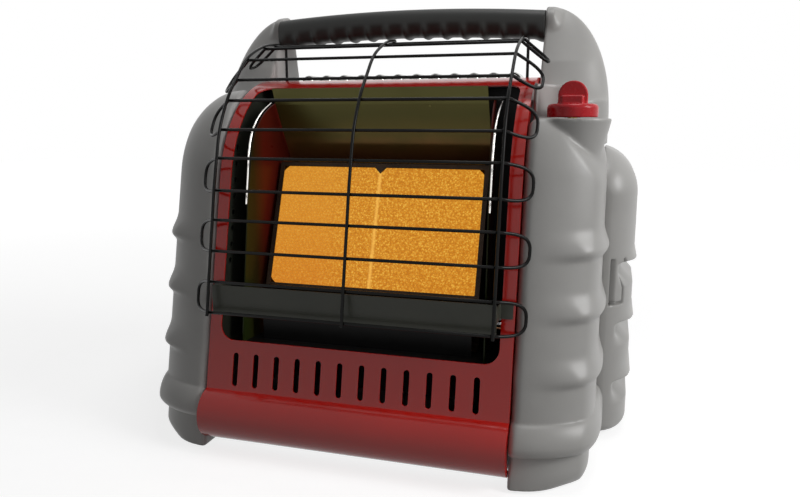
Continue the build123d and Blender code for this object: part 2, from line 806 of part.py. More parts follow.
def make_pilot_bracket():
    y = service_ports()[1][0]
    far = tile_width - spark_inset
    near = far - pilot_bracket_wide
    leg = block(near, far, y + 6, y + 7.2, firebox_bottom, firebox_bottom + 38)
    return leg + block(near, far, y - 14, y + 7.2, firebox_bottom, firebox_bottom + 1.2)


def make_burner_skirt():
    """Black sheet that stands on the firebox floor in front of the pilot, bent back at its top."""
    y = tile_y - skirt_ahead
    half = tile_width - 2
    skirt = block(-half, half, y, y + thin_sheet, firebox_bottom, skirt_top)
    skirt += block(-half, half, y, y + 9, firebox_bottom, firebox_bottom + thin_sheet)
    lip = [(y, skirt_top), (y + 8, skirt_top + 8), (y + 9, skirt_top + 7.4), (y + thin_sheet, skirt_top - 1)]
    return skirt + across(polygon(lip), -half, half)


def make_front_bar():
    """Flat bar low across the window, with a leg at each end back to the red panel."""
    bar = block(-bar_half, bar_half, bar_y, bar_y + sheet, bar_bottom, bar_top)
    skin = across(core_region(0, crown_y + panel_tail), -core_half, core_half)
    back = face_y(bar_leg_high) + 6
    for side in (-1, 1):
        low, high = sorted((side * (bar_half - sheet), side * bar_half))
        leg = block(low, high, bar_y, back, bar_leg_low, bar_leg_high)
        low, high = sorted((side * (bar_half - sheet), side * (core_half - 2)))
        foot = block(low, high, bar_y, back, bar_leg_low, bar_leg_high) & (Pos(0, -sheet, 0) * skin)
        bar += (leg + foot) - skin
    return bar


# ---------------------------------------------------------------- wire guard
def wire_place(index):
    y, z = guard_wires[index]
    return front_y + guard_datum + y, z


def hairpin(index):
    """One closed loop: two rows of the guard joined by rounded ends that turn inwards."""
    low, high = Vector(0, *wire_place(index)), Vector(0, *wire_place(index + 1))
    along = (high - low).normalized()
    inwards = Vector(0, along.Z, -along.Y)
    quarter = (high - low).length / 4
    reach = Vector(guard_half + guard_end_reach, 0, 0)
    start = Vector(guard_half - 2, 0, 0)
    points = [low, low + start, low + reach + inwards * guard_end_back + along * quarter]
    points.append(high + reach + inwards * guard_end_back - along * quarter)
    points += [high + start, high]
    half = pipe(points, wire_radius, 5.0)
    return half + to_left(half)


def upright_wire(x, with_leg):
    """A wire across the front of the rows; the outer ones go on down to the core's crown."""
    step = 2 * wire_radius - 0.3
    places = [wire_place(index) for index in range(len(guard_wires))]
    points = [(x, places[0][0] - step, places[0][1] - 3)]
    for index in (2, 4, 6, 7, 8, 9, 10):
        low, high = Vector(*places[index - 1]), Vector(*places[index + 1])
        along = (high - low).normalized()
        y, z = places[index]
        points.append((x, y - step * along.Y, z + step * along.X))
    y, z = places[-1]
    points.append((x, y + 4, z + step))
    if with_leg:
        points.append((x, y + guard_leg_back, z - 3))
        points.append((x, y + guard_leg_back, body_height + 0.1))
    return pipe(points, wire_radius, 4.0)


def make_guard():
    guard = hairpin(0)
    for index in range(2, len(guard_wires), 2):
        guard += hairpin(index)
    for x in (-guard_half + 2, 0, guard_half - 2):
        guard += upright_wire(x, x != 0)
    return guard


# ---------------------------------------------------------------- gas train
stem_top = shoulder_right + 18.0
stem_flat = 1.2
stem_flat_z = shoulder_right + 2.0


def make_valve_bracket():
    y0, y1, y2 = knob_y - 34, knob_y - 17, knob_y + 12
    shelf = block(plate_out, knob_x + 18, y1, y2, valve_floor - sheet, valve_floor)
    shelf += block(plate_out, knob_x - 15, y0, y1, valve_floor - sheet, valve_floor)
    return shelf + block(plate_out, plate_out + sheet, y0, y2, valve_floor - 20, valve_floor)


def make_gas_valve():
    body = block(knob_x - 15, knob_x + 15, knob_y - 15, knob_y + 11, valve_floor, valve_top)
    body += rod((knob_x, knob_y, valve_top), (knob_x, knob_y, valve_top + 8), 9)
    bore = stem_radius + running
    return body - rod((knob_x, knob_y, valve_top - 12), (knob_x, knob_y, valve_top + 9), bore)


def make_valve_stem():
    low = valve_top - 11.5
    stem = rod((knob_x, knob_y, low), (knob_x, knob_y, stem_top), stem_radius)
    flat_x = knob_x + stem_radius - stem_flat
    flat = block(flat_x, flat_x + 4, knob_y - 6, knob_y + 6, stem_flat_z, stem_top + 1)
    return stem - flat


knob_base = shoulder_right + knob_travel + 1.0


def make_knob():
    """Round skirt, a ring, an arched finger plate and a nose; a D-shaped bore fits the stem."""
    z = knob_base
    knob = rod((knob_x, knob_y, z), (knob_x, knob_y, z + 5), knob_radius)
    knob += rod((knob_x, knob_y, z + 5), (knob_x, knob_y, z + 13), knob_radius - 4)
    arch = Pos(knob_x, z) * Ellipse(knob_fin_wide / 2, knob_fin_tall)
    fin = backwards(arch, knob_y - knob_fin_thick / 2, knob_y + knob_fin_thick / 2)
    knob += fin - block(knob_x - knob_radius, knob_x + knob_radius, knob_y - knob_radius,
                        knob_y + knob_radius, z - knob_fin_tall, z)
    knob += block(knob_x - knob_nose_wide / 2, knob_x + knob_nose_wide / 2,
                  knob_y - knob_nose_reach, knob_y, z, z + knob_nose_tall)
    low = z - knob_hub_drop
    knob += rod((knob_x, knob_y, low), (knob_x, knob_y, z), knob_hub_radius)
    high = stem_top + knob_travel + 1
    bore = rod((knob_x, knob_y, low - 1), (knob_x, knob_y, high), stem_radius + running)
    flat_x = knob_x + stem_radius - stem_flat + running
    flat = block(flat_x, knob_x + 10, knob_y - 6, knob_y + 6, stem_flat_z + knob_travel, high + 1)
    return knob - (bore - flat)


def make_knob_spring():
    """Return spring between the valve's neck and the knob's hub."""
    low = valve_top + 8 + spring_wire
    tall = knob_base - knob_hub_drop - spring_wire - low
    coil = Helix(tall / spring_turns, tall, spring_radius)
    wire = sweep(Plane(origin=coil @ 0, z_dir=coil % 0) * Circle(spring_wire), path=coil)
    return Pos(knob_x, knob_y, low) * wire


def make_igniter():
    x, y = knob_x - 25, knob_y - 25
    return rod((x, y, valve_floor), (x, y, valve_top - 6), 7.5)


def make_burner_tube():
    y, z = tube_holes[1]
    lane = pipe_lane
    points = [(knob_x - 15, y, z), (lane, y, z), (lane, duct_y, z), (lane, duct_y, mixing_level)]
    points.append((orifice_end, duct_y, mixing_level))
    return pipe(points, gas_tube_radius, 3.6)


def make_regulator():
    """Right regulator: it swivels on its trunnions, and its inlet hangs down at rest."""
    x, y, z = regulator_x, regulator_y, regulator_z
    body = rod((x, y - 12, z), (x, y + 12, z), regulator_radius)
    body += rod((x, y - 17.8, z), (x, y + 18, z), trunnion_radius)
    mouth = z - inlet_drop
    body += rod((x, y, mouth), (x, y, z - 10), inlet_outer)
    body -= rod((x, y, mouth - 1), (x, y, mouth + inlet_deep), inlet_radius)
    return body


def make_regulator_bracket():
    x, y, z = regulator_x, regulator_y, regulator_z
    plate = block(x - 20, x + 20, y - 26, y + 22, bay_roof - 3, bay_roof)
    bore = trunnion_radius + running
    for y0 in (y - 18, y + 14):
        ear = block(x - 8, x + 8, y0, y0 + 4, z, bay_roof - 3)
        ear += rod((x, y0, z), (x, y0 + 4, z), 8)
        plate += ear - rod((x, y0 - 1, z), (x, y0 + 5, z), bore)
    return plate


def make_right_line():
    x, y, z = regulator_x, regulator_y - 18, regulator_z
    line = rod((x, knob_y + 11, z), (x, y - 5, z), gas_tube_radius)
    return line + rod((x, y - 6, z), (x, y, z), 8)


def make_left_line():
    x, y, z = -regulator_x, regulator_y - 18, regulator_z
    cross_y, cross_z = tube_holes[0]
    end_x = knob_x - 12
    points = [(x, y - 5, z), (x, cross_y, z), (x, cross_y, cross_z), (end_x, cross_y, cross_z)]
    points += [(end_x, knob_y + 7, cross_z), (end_x, knob_y + 7, valve_top)]
    return pipe(points, gas_tube_radius, 3.6) + rod((x, y - 6, z), (x, y, z), 8)


# ---------------------------------------------------------------- fan, switch and battery
def fan_screw_places():
    """Four lugs stand just outside the fan's ring, on its diagonals."""
    reach = fan_radius + fan_tip_gap + fan_ring_thick + fan_lug_radius - 1.4
    side = reach / math.sqrt(2)
    return [(x, fan_z + z) for x in (-side, side) for z in (-side, side)]


def make_fan_shroud():
    inner = fan_radius + fan_tip_gap
    ring = rod((0, back_y - 30, fan_z), (0, back_y, fan_z), inner + fan_ring_thick)
    ring -= rod((0, back_y - 31, fan_z), (0, back_y + 1, fan_z), inner)
    hub = rod((0, back_y - 30, fan_z), (0, back_y - 28, fan_z), 17)
    for angle in (30, 150, 270):
        arm = block(0, inner + 1, back_y - 30, back_y - 28, -3, 3)
        hub += Pos(0, 0, fan_z) * (Rot(0, angle, 0) * arm)
    for x, z in fan_screw_places():
        ring += rod((x, back_y - 4, z), (x, back_y, z), fan_lug_radius)
        ring -= rod((x, back_y - 5, z), (x, back_y + 1, z), fan_screw_radius + 0.02)
    ring -= rod((0, back_y - 26, fan_z), (0, back_y + 1, fan_z), inner)
    return ring + hub


def make_fan_motor():
    motor = rod((0, back_y - 28, fan_z), (0, back_y - 14, fan_z), 14)
    return motor + rod((0, back_y - 14, fan_z), (0, back_y - 3, fan_z), 2)


def make_fan_wheel():
    wheel = rod((0, back_y - 13.5, fan_z), (0, back_y - 4, fan_z), fan_hub_radius)
    inner = fan_hub_radius - 2
    long = fan_radius + 2 - inner
    for index in range(fan_blades):
        blade = Pos(0, 0, inner + long / 2) * (Rot(0, 0, 35) * Box(14, 1.6, long))
        blade = Rot(0, 360 / fan_blades * index, 0) * blade
        wheel += Pos(0, back_y - 8.8, fan_z) * blade
    wheel &= rod((0, back_y - 14, fan_z), (0, back_y - 3.5, fan_z), fan_radius)
    return wheel - rod((0, back_y - 20, fan_z), (0, back_y - 3, fan_z), 2 + running)


def make_fan_guard():
    y0 = back_y + sheet
    y1 = y0 + fan_guard_thick
    guard = rod((0, y0, fan_z), (0, y1, fan_z), fan_guard_hub)
    pitch = (fan_radius + fan_guard_overlap - fan_guard_hub) / fan_guard_hoops
    for index in range(1, fan_guard_hoops + 1):
        radius = fan_guard_hub + index * pitch
        hoop = Circle(radius + 1.4) - Circle(radius - 1.4)
        guard += backwards(Pos(0, fan_z) * hoop, y0, y1)
    reach = fan_radius + fan_guard_overlap
    for angle in (45, 135):
        bar = block(-reach, reach, y0, y1, -2, 2)
        guard += Pos(0, 0, fan_z) * (Rot(0, angle, 0) * bar)
    for x, z in fan_screw_places():
        guard += rod((x, y0, z), (x, y1, z), fan_lug_radius - 1.5)
        guard -= rod((x, y0 - 1, z), (x, y1 + 1, z), fan_screw_radius + 0.2)
    return guard


def make_fan_screws():
    screws = []
    y = back_y + sheet + fan_guard_thick
    for x, z in fan_screw_places():
        screws.append(screw((x, y, z), (0, 1, 0), fan_screw_radius, 6, 3.2, 2.0))
    return group(screws)


def make_switch_body():
    y = back_y + sheet
    frame = block(switch_x - 9, switch_x + 9, y, y + 2, switch_z - 13, switch_z + 13)
    frame += block(switch_x - 6.8, switch_x + 6.8, y - 20, y, switch_z - 10.8, switch_z + 10.8)
    frame -= block(switch_x - 5.4, switch_x + 5.4, y - 12, y + 3, switch_z - 9.6, switch_z + 9.6)
    at = (switch_pivot_y, switch_z)
    return frame - rod((switch_x - 6.8, *at), (switch_x + 6.8, *at), switch_pin_radius + running)


def make_switch_rocker():
    y = back_y + sheet + 1.0
    wing = polygon([(y - 4, switch_z - 8.4), (y + 3.6, switch_z - 8.4), (y + 1.4, switch_z),
                    (y + 3.6, switch_z + 8.4), (y - 4, switch_z + 8.4)])
    rocker = across(wing, switch_x - 5, switch_x + 5)
    at = (switch_pivot_y, switch_z)
    return rocker + rod((switch_x - 6.6, *at), (switch_x + 6.6, *at), switch_pin_radius)


def make_power_jack():
    y = back_y + sheet
    jack = rod((jack_x, y, jack_z), (jack_x, y + 2, jack_z), 8)
    jack += rod((jack_x, y - 14, jack_z), (jack_x, y, jack_z), 5)
    jack -= rod((jack_x, y - 10, jack_z), (jack_x, y + 3, jack_z), 3.2)
    return jack + rod((jack_x, y - 11, jack_z), (jack_x, y - 1, jack_z), 1.0)


def make_battery_box():
    wall = 2.0
    box = block(-battery_half, battery_half, back_y - battery_deep, back_y, battery_floor, battery_roof)
    inner = battery_half - wall
    return box - block(-inner, inner, back_y - battery_deep + wall, back_y + 1,
                       battery_floor + wall, battery_roof - wall)


def make_cells():
    """Four D cells in two rows, lying along X."""
    cells = []
    z = battery_floor + 2 + cell_radius + 0.1
    for row in (0, 1):
        y = back_y - battery_deep + 3 + cell_radius + row * (2 * cell_radius + 0.8)
        for side in (-1, 1):
            near, far = side * 0.4, side * (cell_long - 2)
            cells.append(rod((near, y, z), (far, y, z), cell_radius))
    return group(cells)


def make_contacts():
    """Spring strips at both ends of the cells, on the box's end walls."""
    strips = []
    low = battery_floor + 8
    for side in (-1, 1):
        near, far = sorted((side * (cell_long - 1.6), side * (battery_half - 2)))
        strips.append(block(near, far, back_y - battery_deep + 6, back_y - 8, low, low + 20))
    return group(strips)


battery_door_half = battery_half - 9


def make_battery_door():
    y = back_y + sheet + 0.2
    low = battery_floor + 0.5
    door = block(-battery_door_half, battery_door_half, y, y + 2.2, low, battery_pin_z)
    half = battery_door_half
    door += rod((-half, battery_pin_y, battery_pin_z), (half, battery_pin_y, battery_pin_z), battery_barrel)
    door += block(-10, 10, y, y + 4, low + 2, low + 6)
    bore = battery_pin_radius + running
    return door - rod((-half - 1, battery_pin_y, battery_pin_z), (half + 1, battery_pin_y, battery_pin_z), bore)


def make_battery_pin():
    start = (-battery_half + 1, battery_pin_y, battery_pin_z)
    return rod(start, (battery_half - 1, battery_pin_y, battery_pin_z), battery_pin_radius)


def make_tilt_switch():
    y = face_y(0) + 90
    box = block(70, 100, y, y + 26, pan_z + sheet, pan_z + sheet + 24)
    return box + rod((85, y + 13, pan_z + sheet + 24), (85, y + 13, pan_z + sheet + 30), 5)


# ---------------------------------------------------------------- the parts
side_plate = make_side_plate()
hinge_pin = make_hinge_pin()
door = make_door()
bracket = make_regulator_bracket()
regulator = make_regulator()
reflector = make_side_reflector()

parts = {
    "front_panel": make_front_panel(),
    "side_plate_right": side_plate,
    "side_plate_left": to_left(side_plate),
    "base_pan": make_base_pan(),
    "foot_pads": make_foot_pads(),
    "back_panel": make_back_panel(),
    "back_screws": make_back_screws(),
    "top_cover": make_top_cover(),
    "side_shell_right": make_side_shell(shoulder_right, True),
    "side_shell_left": to_left(make_side_shell(shoulder_left, False)),
    "shell_screws": make_shell_screws(),
    "cylinder_door_right": door,
    "cylinder_door_left": to_left(door),
    "hinge_pins": group([hinge_pin, to_left(hinge_pin)]),
    "handle_core": make_handle_core(),
    "handle_grip": make_grip(),
    "handle_bolts": make_handle_bolts(),
    "firebox": make_firebox(),
    "canopy_reflector": make_canopy(),
    "side_reflectors": group([reflector, to_left(reflector)]),
    "tile_right": make_tile(1),
    "tile_left": make_tile(-1),
    "tile_frame": make_tile_frame(),
    "burner_plenum": make_plenum(),
    "mixing_tube": make_mixing_tube(),
    "orifice_holder": make_orifice(),
    "pilot_burner": make_pilot_burner(),
    "pilot_bracket": make_pilot_bracket(),
    "pilot_tube": service_line(0, tile_width - pilot_inset, 5.0, thin_tube_radius),
    "thermocouple": service_line(1, tile_width - lead_inset, 22.0, lead_radius),
    "spark_electrode": service_line(2, tile_width - spark_inset, 12.0, lead_radius),
    "burner_skirt": make_burner_skirt(),
    "front_bar": make_front_bar(),
    "wire_guard": make_guard(),
    "valve_bracket": make_valve_bracket(),
    "gas_valve": make_gas_valve(),
    "valve_stem": make_valve_stem(),
    "control_knob": make_knob(),
    "knob_spring": make_knob_spring(),
    "piezo_igniter": make_igniter(),
    "burner_tube": make_burner_tube(),
    "regulator_right": regulator,
    "regulator_left": to_left(regulator),
    "regulator_brackets": group([bracket, to_left(bracket)]),
    "gas_line_right": make_right_line(),
    "gas_line_left": make_left_line(),
    "fan_shroud": make_fan_shroud(),
    "fan_motor": make_fan_motor(),
    "fan_wheel": make_fan_wheel(),
    "fan_guard": make_fan_guard(),
    "fan_screws": make_fan_screws(),
    "fan_switch_body": make_switch_body(),
    "fan_switch_rocker": make_switch_rocker(),
    "power_jack": make_power_jack(),
    "battery_box": make_battery_box(),
    "battery_cells": make_cells(),
    "battery_contacts": make_contacts(),
    "battery_door": make_battery_door(),
    "battery_pin": make_battery_pin(),
    "tilt_switch": make_tilt_switch(),
}

for node, shape in parts.items():
    save(node, shape)
print(len(parts), "nodes")
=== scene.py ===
import json
import math

import bmesh
import bpy
import numpy as np
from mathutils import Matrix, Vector

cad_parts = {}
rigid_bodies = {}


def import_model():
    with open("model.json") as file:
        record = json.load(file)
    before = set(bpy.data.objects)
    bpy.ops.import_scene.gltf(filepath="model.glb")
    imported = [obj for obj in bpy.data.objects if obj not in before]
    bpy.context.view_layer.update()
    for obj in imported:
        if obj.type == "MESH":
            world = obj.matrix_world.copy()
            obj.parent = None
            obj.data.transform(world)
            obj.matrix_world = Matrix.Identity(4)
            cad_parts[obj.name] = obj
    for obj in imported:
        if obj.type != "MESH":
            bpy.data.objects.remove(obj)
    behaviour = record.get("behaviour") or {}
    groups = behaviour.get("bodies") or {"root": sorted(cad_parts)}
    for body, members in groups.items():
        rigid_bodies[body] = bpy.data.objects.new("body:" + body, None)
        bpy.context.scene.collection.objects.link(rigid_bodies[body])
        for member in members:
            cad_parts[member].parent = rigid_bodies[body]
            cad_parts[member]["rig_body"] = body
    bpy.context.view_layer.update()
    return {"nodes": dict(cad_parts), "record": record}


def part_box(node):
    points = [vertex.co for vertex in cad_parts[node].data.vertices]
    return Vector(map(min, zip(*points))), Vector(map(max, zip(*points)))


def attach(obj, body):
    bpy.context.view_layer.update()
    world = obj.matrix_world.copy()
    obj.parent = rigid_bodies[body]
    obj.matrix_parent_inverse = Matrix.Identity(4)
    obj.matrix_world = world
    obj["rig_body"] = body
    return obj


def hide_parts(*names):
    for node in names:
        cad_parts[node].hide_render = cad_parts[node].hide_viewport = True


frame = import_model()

# A portable propane heater. Lengths are in millimetres up to the point where a mesh is made.
# The front faces -Y, +X is the side with the knob, and z = 0 is the surface it stands on.
MM = 0.001

# ---------------------------------------------------------------- sizes read from the frame
def edges(node):
    """Lowest and highest corners of a CAD node in millimetres."""
    low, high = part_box(node)
    return np.array(low) / MM, np.array(high) / MM


core_half = edges("side_shell_right")[0][0]
front_y = edges("front_panel")[0][1]
rear_y = edges("cylinder_door_right")[1][1]
body_height = edges("front_panel")[1][2]
grip_low, grip_high = edges("handle_grip")
door_low, door_high = edges("cylinder_door_right")
door_gap = 0.4
bay_roof = door_high[2] + door_gap
seam_y = door_low[1] - door_gap   # between a casing and its door
stem_low, stem_high = edges("valve_stem")
knob_x, knob_y = ((stem_low + stem_high) / 2)[:2]
knob_low, knob_high = edges("control_knob")
tile_low, tile_high = edges("tile_right")

slope = math.tan(math.radians(12))   # backward lean of the front
face_set_back = 7.2                  # front plane behind the kick plate at the floor
shell_side = core_half + 69          # flat side of a casing
casing_back = edges("side_shell_right")[1][1] - 1
shoulder_right = 317.0
lobe_right = 345.0                   # top that the right lobe would have without its deck
shoulder_left = 345.0
wall = 3.0                           # moulded doors
casing_wall = 5.0                    # moulded casings


def face_y(z):
    """Y of the leaning front plane at height z."""
    return front_y + face_set_back + slope * z


# ---------------------------------------------------------------- fields and their skins
def sample_grid(low, high, step):
    """Open coordinate arrays, in millimetres, that cover a box."""
    axes = [np.arange(a, b + step, step) for a, b in zip(low, high)]
    return np.meshgrid(*axes, indexing="ij", sparse=True)


def round_and(a, b, radius):
    """Overlap of two solids whose shared edge is rounded."""
    u, v = np.maximum(a + radius, 0), np.maximum(b + radius, 0)
    return np.minimum(np.maximum(a, b), -radius) + np.hypot(u, v)


def round_or(a, b, radius):
    """Union of two solids with a fillet where they meet."""
    u, v = np.maximum(radius - a, 0), np.maximum(radius - b, 0)
    return np.maximum(np.minimum(a, b), radius) - np.hypot(u, v)


def fade(value, start, end):
    """0 before start, 1 after end, and smooth between them."""
    t = np.clip((value - start) / (end - start), 0, 1)
    return t * t * (3 - 2 * t)


def box_field(x, y, z, low, high):
    """A plain box."""
    field = np.maximum(low[0] - x, x - high[0])
    field = np.maximum(field, np.maximum(low[1] - y, y - high[1]))
    return np.maximum(field, np.maximum(low[2] - z, z - high[2]))


def skin(field, low, step):
    """Vertices and quads of the zero level of a sampled field, one vertex in each cell crossed."""
    cells = np.array(field.shape) - 1
    owners, places, rings, turned = [], [], [], []
    for axis in range(3):
        start = np.take(field, range(field.shape[axis] - 1), axis)
        end = np.take(field, range(1, field.shape[axis]), axis)
        crossed = np.argwhere((start < 0) != (end < 0))
        at = tuple(crossed.T)
        place = crossed.astype(float)
        place[:, axis] += start[at] / (start[at] - end[at])
        second, third = (axis + 1) % 3, (axis + 2) % 3
        ring = []
        for a, b in ((1, 1), (0, 1), (0, 0), (1, 0)):
            cell = crossed.copy()
            cell[:, second] -= a
            cell[:, third] -= b
            ring.append(np.ravel_multi_index(tuple(np.clip(cell, 0, cells - 1).T), cells))
            owners.append(ring[-1])
            places.append(place)
        rings.append(np.stack(ring, 1))
        turned.append(start[at] > 0)
    owner, index = np.unique(np.concatenate(owners), return_inverse=True)
    place = np.concatenate(places)
    count = np.bincount(index)
    centre = [np.bincount(index, place[:, i]) / count for i in range(3)]
    vertices = np.stack(centre, 1) * step + np.array(low)
    quads = np.searchsorted(owner, np.concatenate(rings))
    turned = np.concatenate(turned)
    quads[turned] = quads[turned][:, ::-1]
    return vertices, quads


def mesh_object(name, vertices, faces, smooth_angle=40):
    """Object from vertices in millimetres; edges sharper than the angle stay sharp."""
    mesh = bpy.data.meshes.new(name)
    mesh.from_pydata((np.asarray(vertices) * MM).tolist(), [], np.asarray(faces).tolist()
                     if isinstance(faces, np.ndarray) else faces)
    mesh.validate()
    mesh.shade_smooth()
    mesh.set_sharp_from_angle(angle=math.radians(smooth_angle))
    obj = bpy.data.objects.new(name, mesh)
    bpy.context.scene.collection.objects.link(obj)
    return obj


def object_from(mesh, name):
    """Object from a bmesh, which is freed."""
    data = bpy.data.meshes.new(name)
    mesh.to_mesh(data)
    mesh.free()
    obj = bpy.data.objects.new(name, data)
    bpy.context.scene.collection.objects.link(obj)
    return obj


def field_object(name, field, low, step, mirrored=False, relax=3):
    """Object whose surface is the field's zero level, evened out by a few smoothing rounds."""
    vertices, quads = skin(field, low, step)
    if mirrored:
        vertices = vertices * np.array([-1, 1, 1])
        quads = quads[:, ::-1]
    obj = mesh_object(name, vertices, quads)
    even = obj.modifiers.new("even", "SMOOTH")
    even.factor = 0.5
    even.iterations = relax
    return obj


def place(obj, material, slot, replaced=(), body="heater"):
    """Gives a finished piece its material, hides the nodes it stands for and puts it in its body;
    the slot is not used.
    """
    obj.data.materials.clear()
    obj.data.materials.append(material)
    if replaced:
        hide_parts(*replaced)
    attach(obj, body)
    return obj


# ---------------------------------------------------------------- materials
def new_material(name):
    material = bpy.data.materials.new(name)
    material.use_nodes = True
    tree = material.node_tree
    return material, tree, tree.nodes["Principled BSDF"]


def texture(tree, kind, scale, **settings):
    """A procedural texture that sits on the object's own coordinates, in metres."""
    coords = tree.nodes.new("ShaderNodeTexCoord")
    node = tree.nodes.new(kind)
    node.inputs["Scale"].default_value = scale
    for key, value in settings.items():
        node.inputs[key].default_value = value
    tree.links.new(coords.outputs["Object"], node.inputs["Vector"])
    return node


def colour_ramp(tree, source, stops):
    """Colours along a value, each stop a place and a linear colour."""
    ramp = tree.nodes.new("ShaderNodeValToRGB")
    elements = ramp.color_ramp.elements
    while len(elements) < len(stops):
        elements.new(0.5)
    for element, (at, colour) in zip(elements, stops):
        element.position = at
        element.color = (*colour, 1)
    tree.links.new(source, ramp.inputs["Fac"])
    return ramp.outputs["Color"]


def value_range(tree, source, low, high, from_low=0.0, from_high=1.0):
    node = tree.nodes.new("ShaderNodeMapRange")
    node.inputs["From Min"].default_value = from_low
    node.inputs["From Max"].default_value = from_high
    node.inputs["To Min"].default_value = low
    node.inputs["To Max"].default_value = high
    tree.links.new(source, node.inputs["Value"])
    return node.outputs["Result"]


def add_bump(tree, shader, height, strength, distance):
    bump = tree.nodes.new("ShaderNodeBump")
    bump.inputs["Strength"].default_value = strength
    bump.inputs["Distance"].default_value = distance * MM
    tree.links.new(height, bump.inputs["Height"])
    tree.links.new(bump.outputs["Normal"], shader.inputs["Normal"])


def finish(name, dark, light, rough, metallic=0.0, patch=18.0, grain=900.0, grain_depth=0.04,
           stretch=None, specular=0.5):
    """A surface with slow colour patches, uneven gloss and a fine grain."""
    material, tree, shader = new_material(name)
    patches = texture(tree, "ShaderNodeTexNoise", patch, Detail=4.0, Roughness=0.6)
    tree.links.new(colour_ramp(tree, patches.outputs["Fac"], [(0.3, dark), (0.7, light)]),
                   shader.inputs["Base Color"])
    fine = texture(tree, "ShaderNodeTexNoise", grain, Detail=2.0)
    if stretch:
        mapping = tree.nodes.new("ShaderNodeMapping")
        mapping.inputs["Scale"].default_value = stretch
        coords = tree.nodes.new("ShaderNodeTexCoord")
        tree.links.new(coords.outputs["Object"], mapping.inputs["Vector"])
        tree.links.new(mapping.outputs["Vector"], fine.inputs["Vector"])
    tree.links.new(value_range(tree, fine.outputs["Fac"], *rough, 0.3, 0.7),
                   shader.inputs["Roughness"])
    add_bump(tree, shader, fine.outputs["Fac"], 0.35, grain_depth)
    shader.inputs["Metallic"].default_value = metallic
    shader.inputs["Specular IOR Level"].default_value = specular
    return material


def object_axis(tree, axis):
    """One of the object's coordinates as a value in metres."""
    coords = tree.nodes.new("ShaderNodeTexCoord")
    split = tree.nodes.new("ShaderNodeSeparateXYZ")
    tree.links.new(coords.outputs["Object"], split.inputs["Vector"])
    return split.outputs[axis]


def math_node(tree, operation, *values):
    """Result of a maths node whose inputs are numbers or other nodes' outputs."""
    node = tree.nodes.new("ShaderNodeMath")
    node.operation = operation
    for socket, value in zip(node.inputs, values):
        if isinstance(value, float):
            socket.default_value = value
        else:
            tree.links.new(value, socket)
    return node.outputs["Value"]


def colour_mix(tree, factor, first, second):
    """Blend of two colours by a factor; each is a node's output or a plain colour."""
    node = tree.nodes.new("ShaderNodeMix")
    node.data_type = "RGBA"
    tree.links.new(factor, node.inputs["Factor"])
    for name, value in (("A", first), ("B", second)):
        if isinstance(value, tuple):
            node.inputs[name].default_value = (*value, 1)
        else:
            tree.links.new(value, node.inputs[name])
    return node.outputs["Result"]


def make_glow():
    """Ceramic that glows orange: brighter at the seam, and speckled with pores on the right."""
    material, tree, shader = new_material("burner_glow")
    height = value_range(tree, object_axis(tree, "Z"), 0, 1, tile_low[2] * MM, tile_high[2] * MM)
    rows = colour_ramp(tree, height, [(0.0, (0.60, 0.19, 0.014)), (0.5, (0.66, 0.26, 0.022)),
                                      (1.0, (0.66, 0.28, 0.026))])
    spots = texture(tree, "ShaderNodeTexNoise", 620.0, Detail=2.0, Roughness=0.6)
    cells = texture(tree, "ShaderNodeTexVoronoi", 400.0)
    dotted = math_node(tree, "MULTIPLY_ADD", cells.outputs["Distance"], 0.45, spots.outputs["Fac"])
    speckle = colour_ramp(tree, dotted, [(0.50, (0.86, 0.50, 0.07)), (0.66, (0.66, 0.28, 0.022)),
                                         (0.88, (0.50, 0.17, 0.008))])
    rightwards = value_range(tree, object_axis(tree, "X"), 0.35, 0.85, -0.055, -0.02)
    blend = colour_mix(tree, rightwards, rows, speckle)
    across = math_node(tree, "ABSOLUTE", object_axis(tree, "X"))
    seam = value_range(tree, across, 0.6, 0.0, 0.0006, 0.0024)
    lit = colour_mix(tree, seam, blend, (1.0, 0.55, 0.10))
    tree.links.new(lit, shader.inputs["Emission Color"])
    shader.inputs["Emission Strength"].default_value = 0.95
    shader.inputs["Base Color"].default_value = (0.12, 0.05, 0.02, 1)
    shader.inputs["Roughness"].default_value = 0.9
    add_bump(tree, shader, spots.outputs["Fac"], 0.3, 0.3)
    return material


def make_mirror():
    """Polished sheet, olive at the top, with a painted reflection of the glowing tiles in
    brown-red towards them.
    """
    material, tree, shader = new_material("polished_sheet")
    height = value_range(tree, object_axis(tree, "Z"), 0, 1, 0.268, 0.335)
    smear = texture(tree, "ShaderNodeTexNoise", 30.0, Detail=3.0)
    mixed = math_node(tree, "MULTIPLY_ADD", smear.outputs["Fac"], 0.25, height)
    # painted reflection: the colour turns brown-red towards the tiles, standing in for their glow
    # in the sheet
    colour_and_painted_reflection = colour_ramp(tree, mixed, [(0.1, (0.34, 0.11, 0.045)), (0.35, (0.34, 0.15, 0.045)),
                                     (0.6, (0.13, 0.10, 0.020)), (0.9, (0.095, 0.088, 0.018))])
    tree.links.new(colour_and_painted_reflection, shader.inputs["Base Color"])
    gloss = value_range(tree, smear.outputs["Fac"], 0.2, 0.3)
    tree.links.new(gloss, shader.inputs["Roughness"])
    shader.inputs["Metallic"].default_value = 0.6
    return material


def make_firebox_paint():
    """Black enamel, with a grey-green on the side walls next to the window."""
    material, tree, shader = new_material("firebox_paint")
    across = math_node(tree, "ABSOLUTE", object_axis(tree, "X"))
    patches = texture(tree, "ShaderNodeTexNoise", 60.0, Detail=4.0)
    sides = value_range(tree, across, 0, 1, 0.1335, 0.1345)
    paint = colour_ramp(tree, sides, [(0.2, (0.003, 0.003, 0.003)), (0.8, (0.022, 0.024, 0.018))])
    tree.links.new(paint, shader.inputs["Base Color"])
    gloss = value_range(tree, patches.outputs["Fac"], 0.3, 0.5)
    tree.links.new(gloss, shader.inputs["Roughness"])
    shader.inputs["Specular IOR Level"].default_value = 0.15
    add_bump(tree, shader, patches.outputs["Fac"], 0.2, 0.1)
    return material


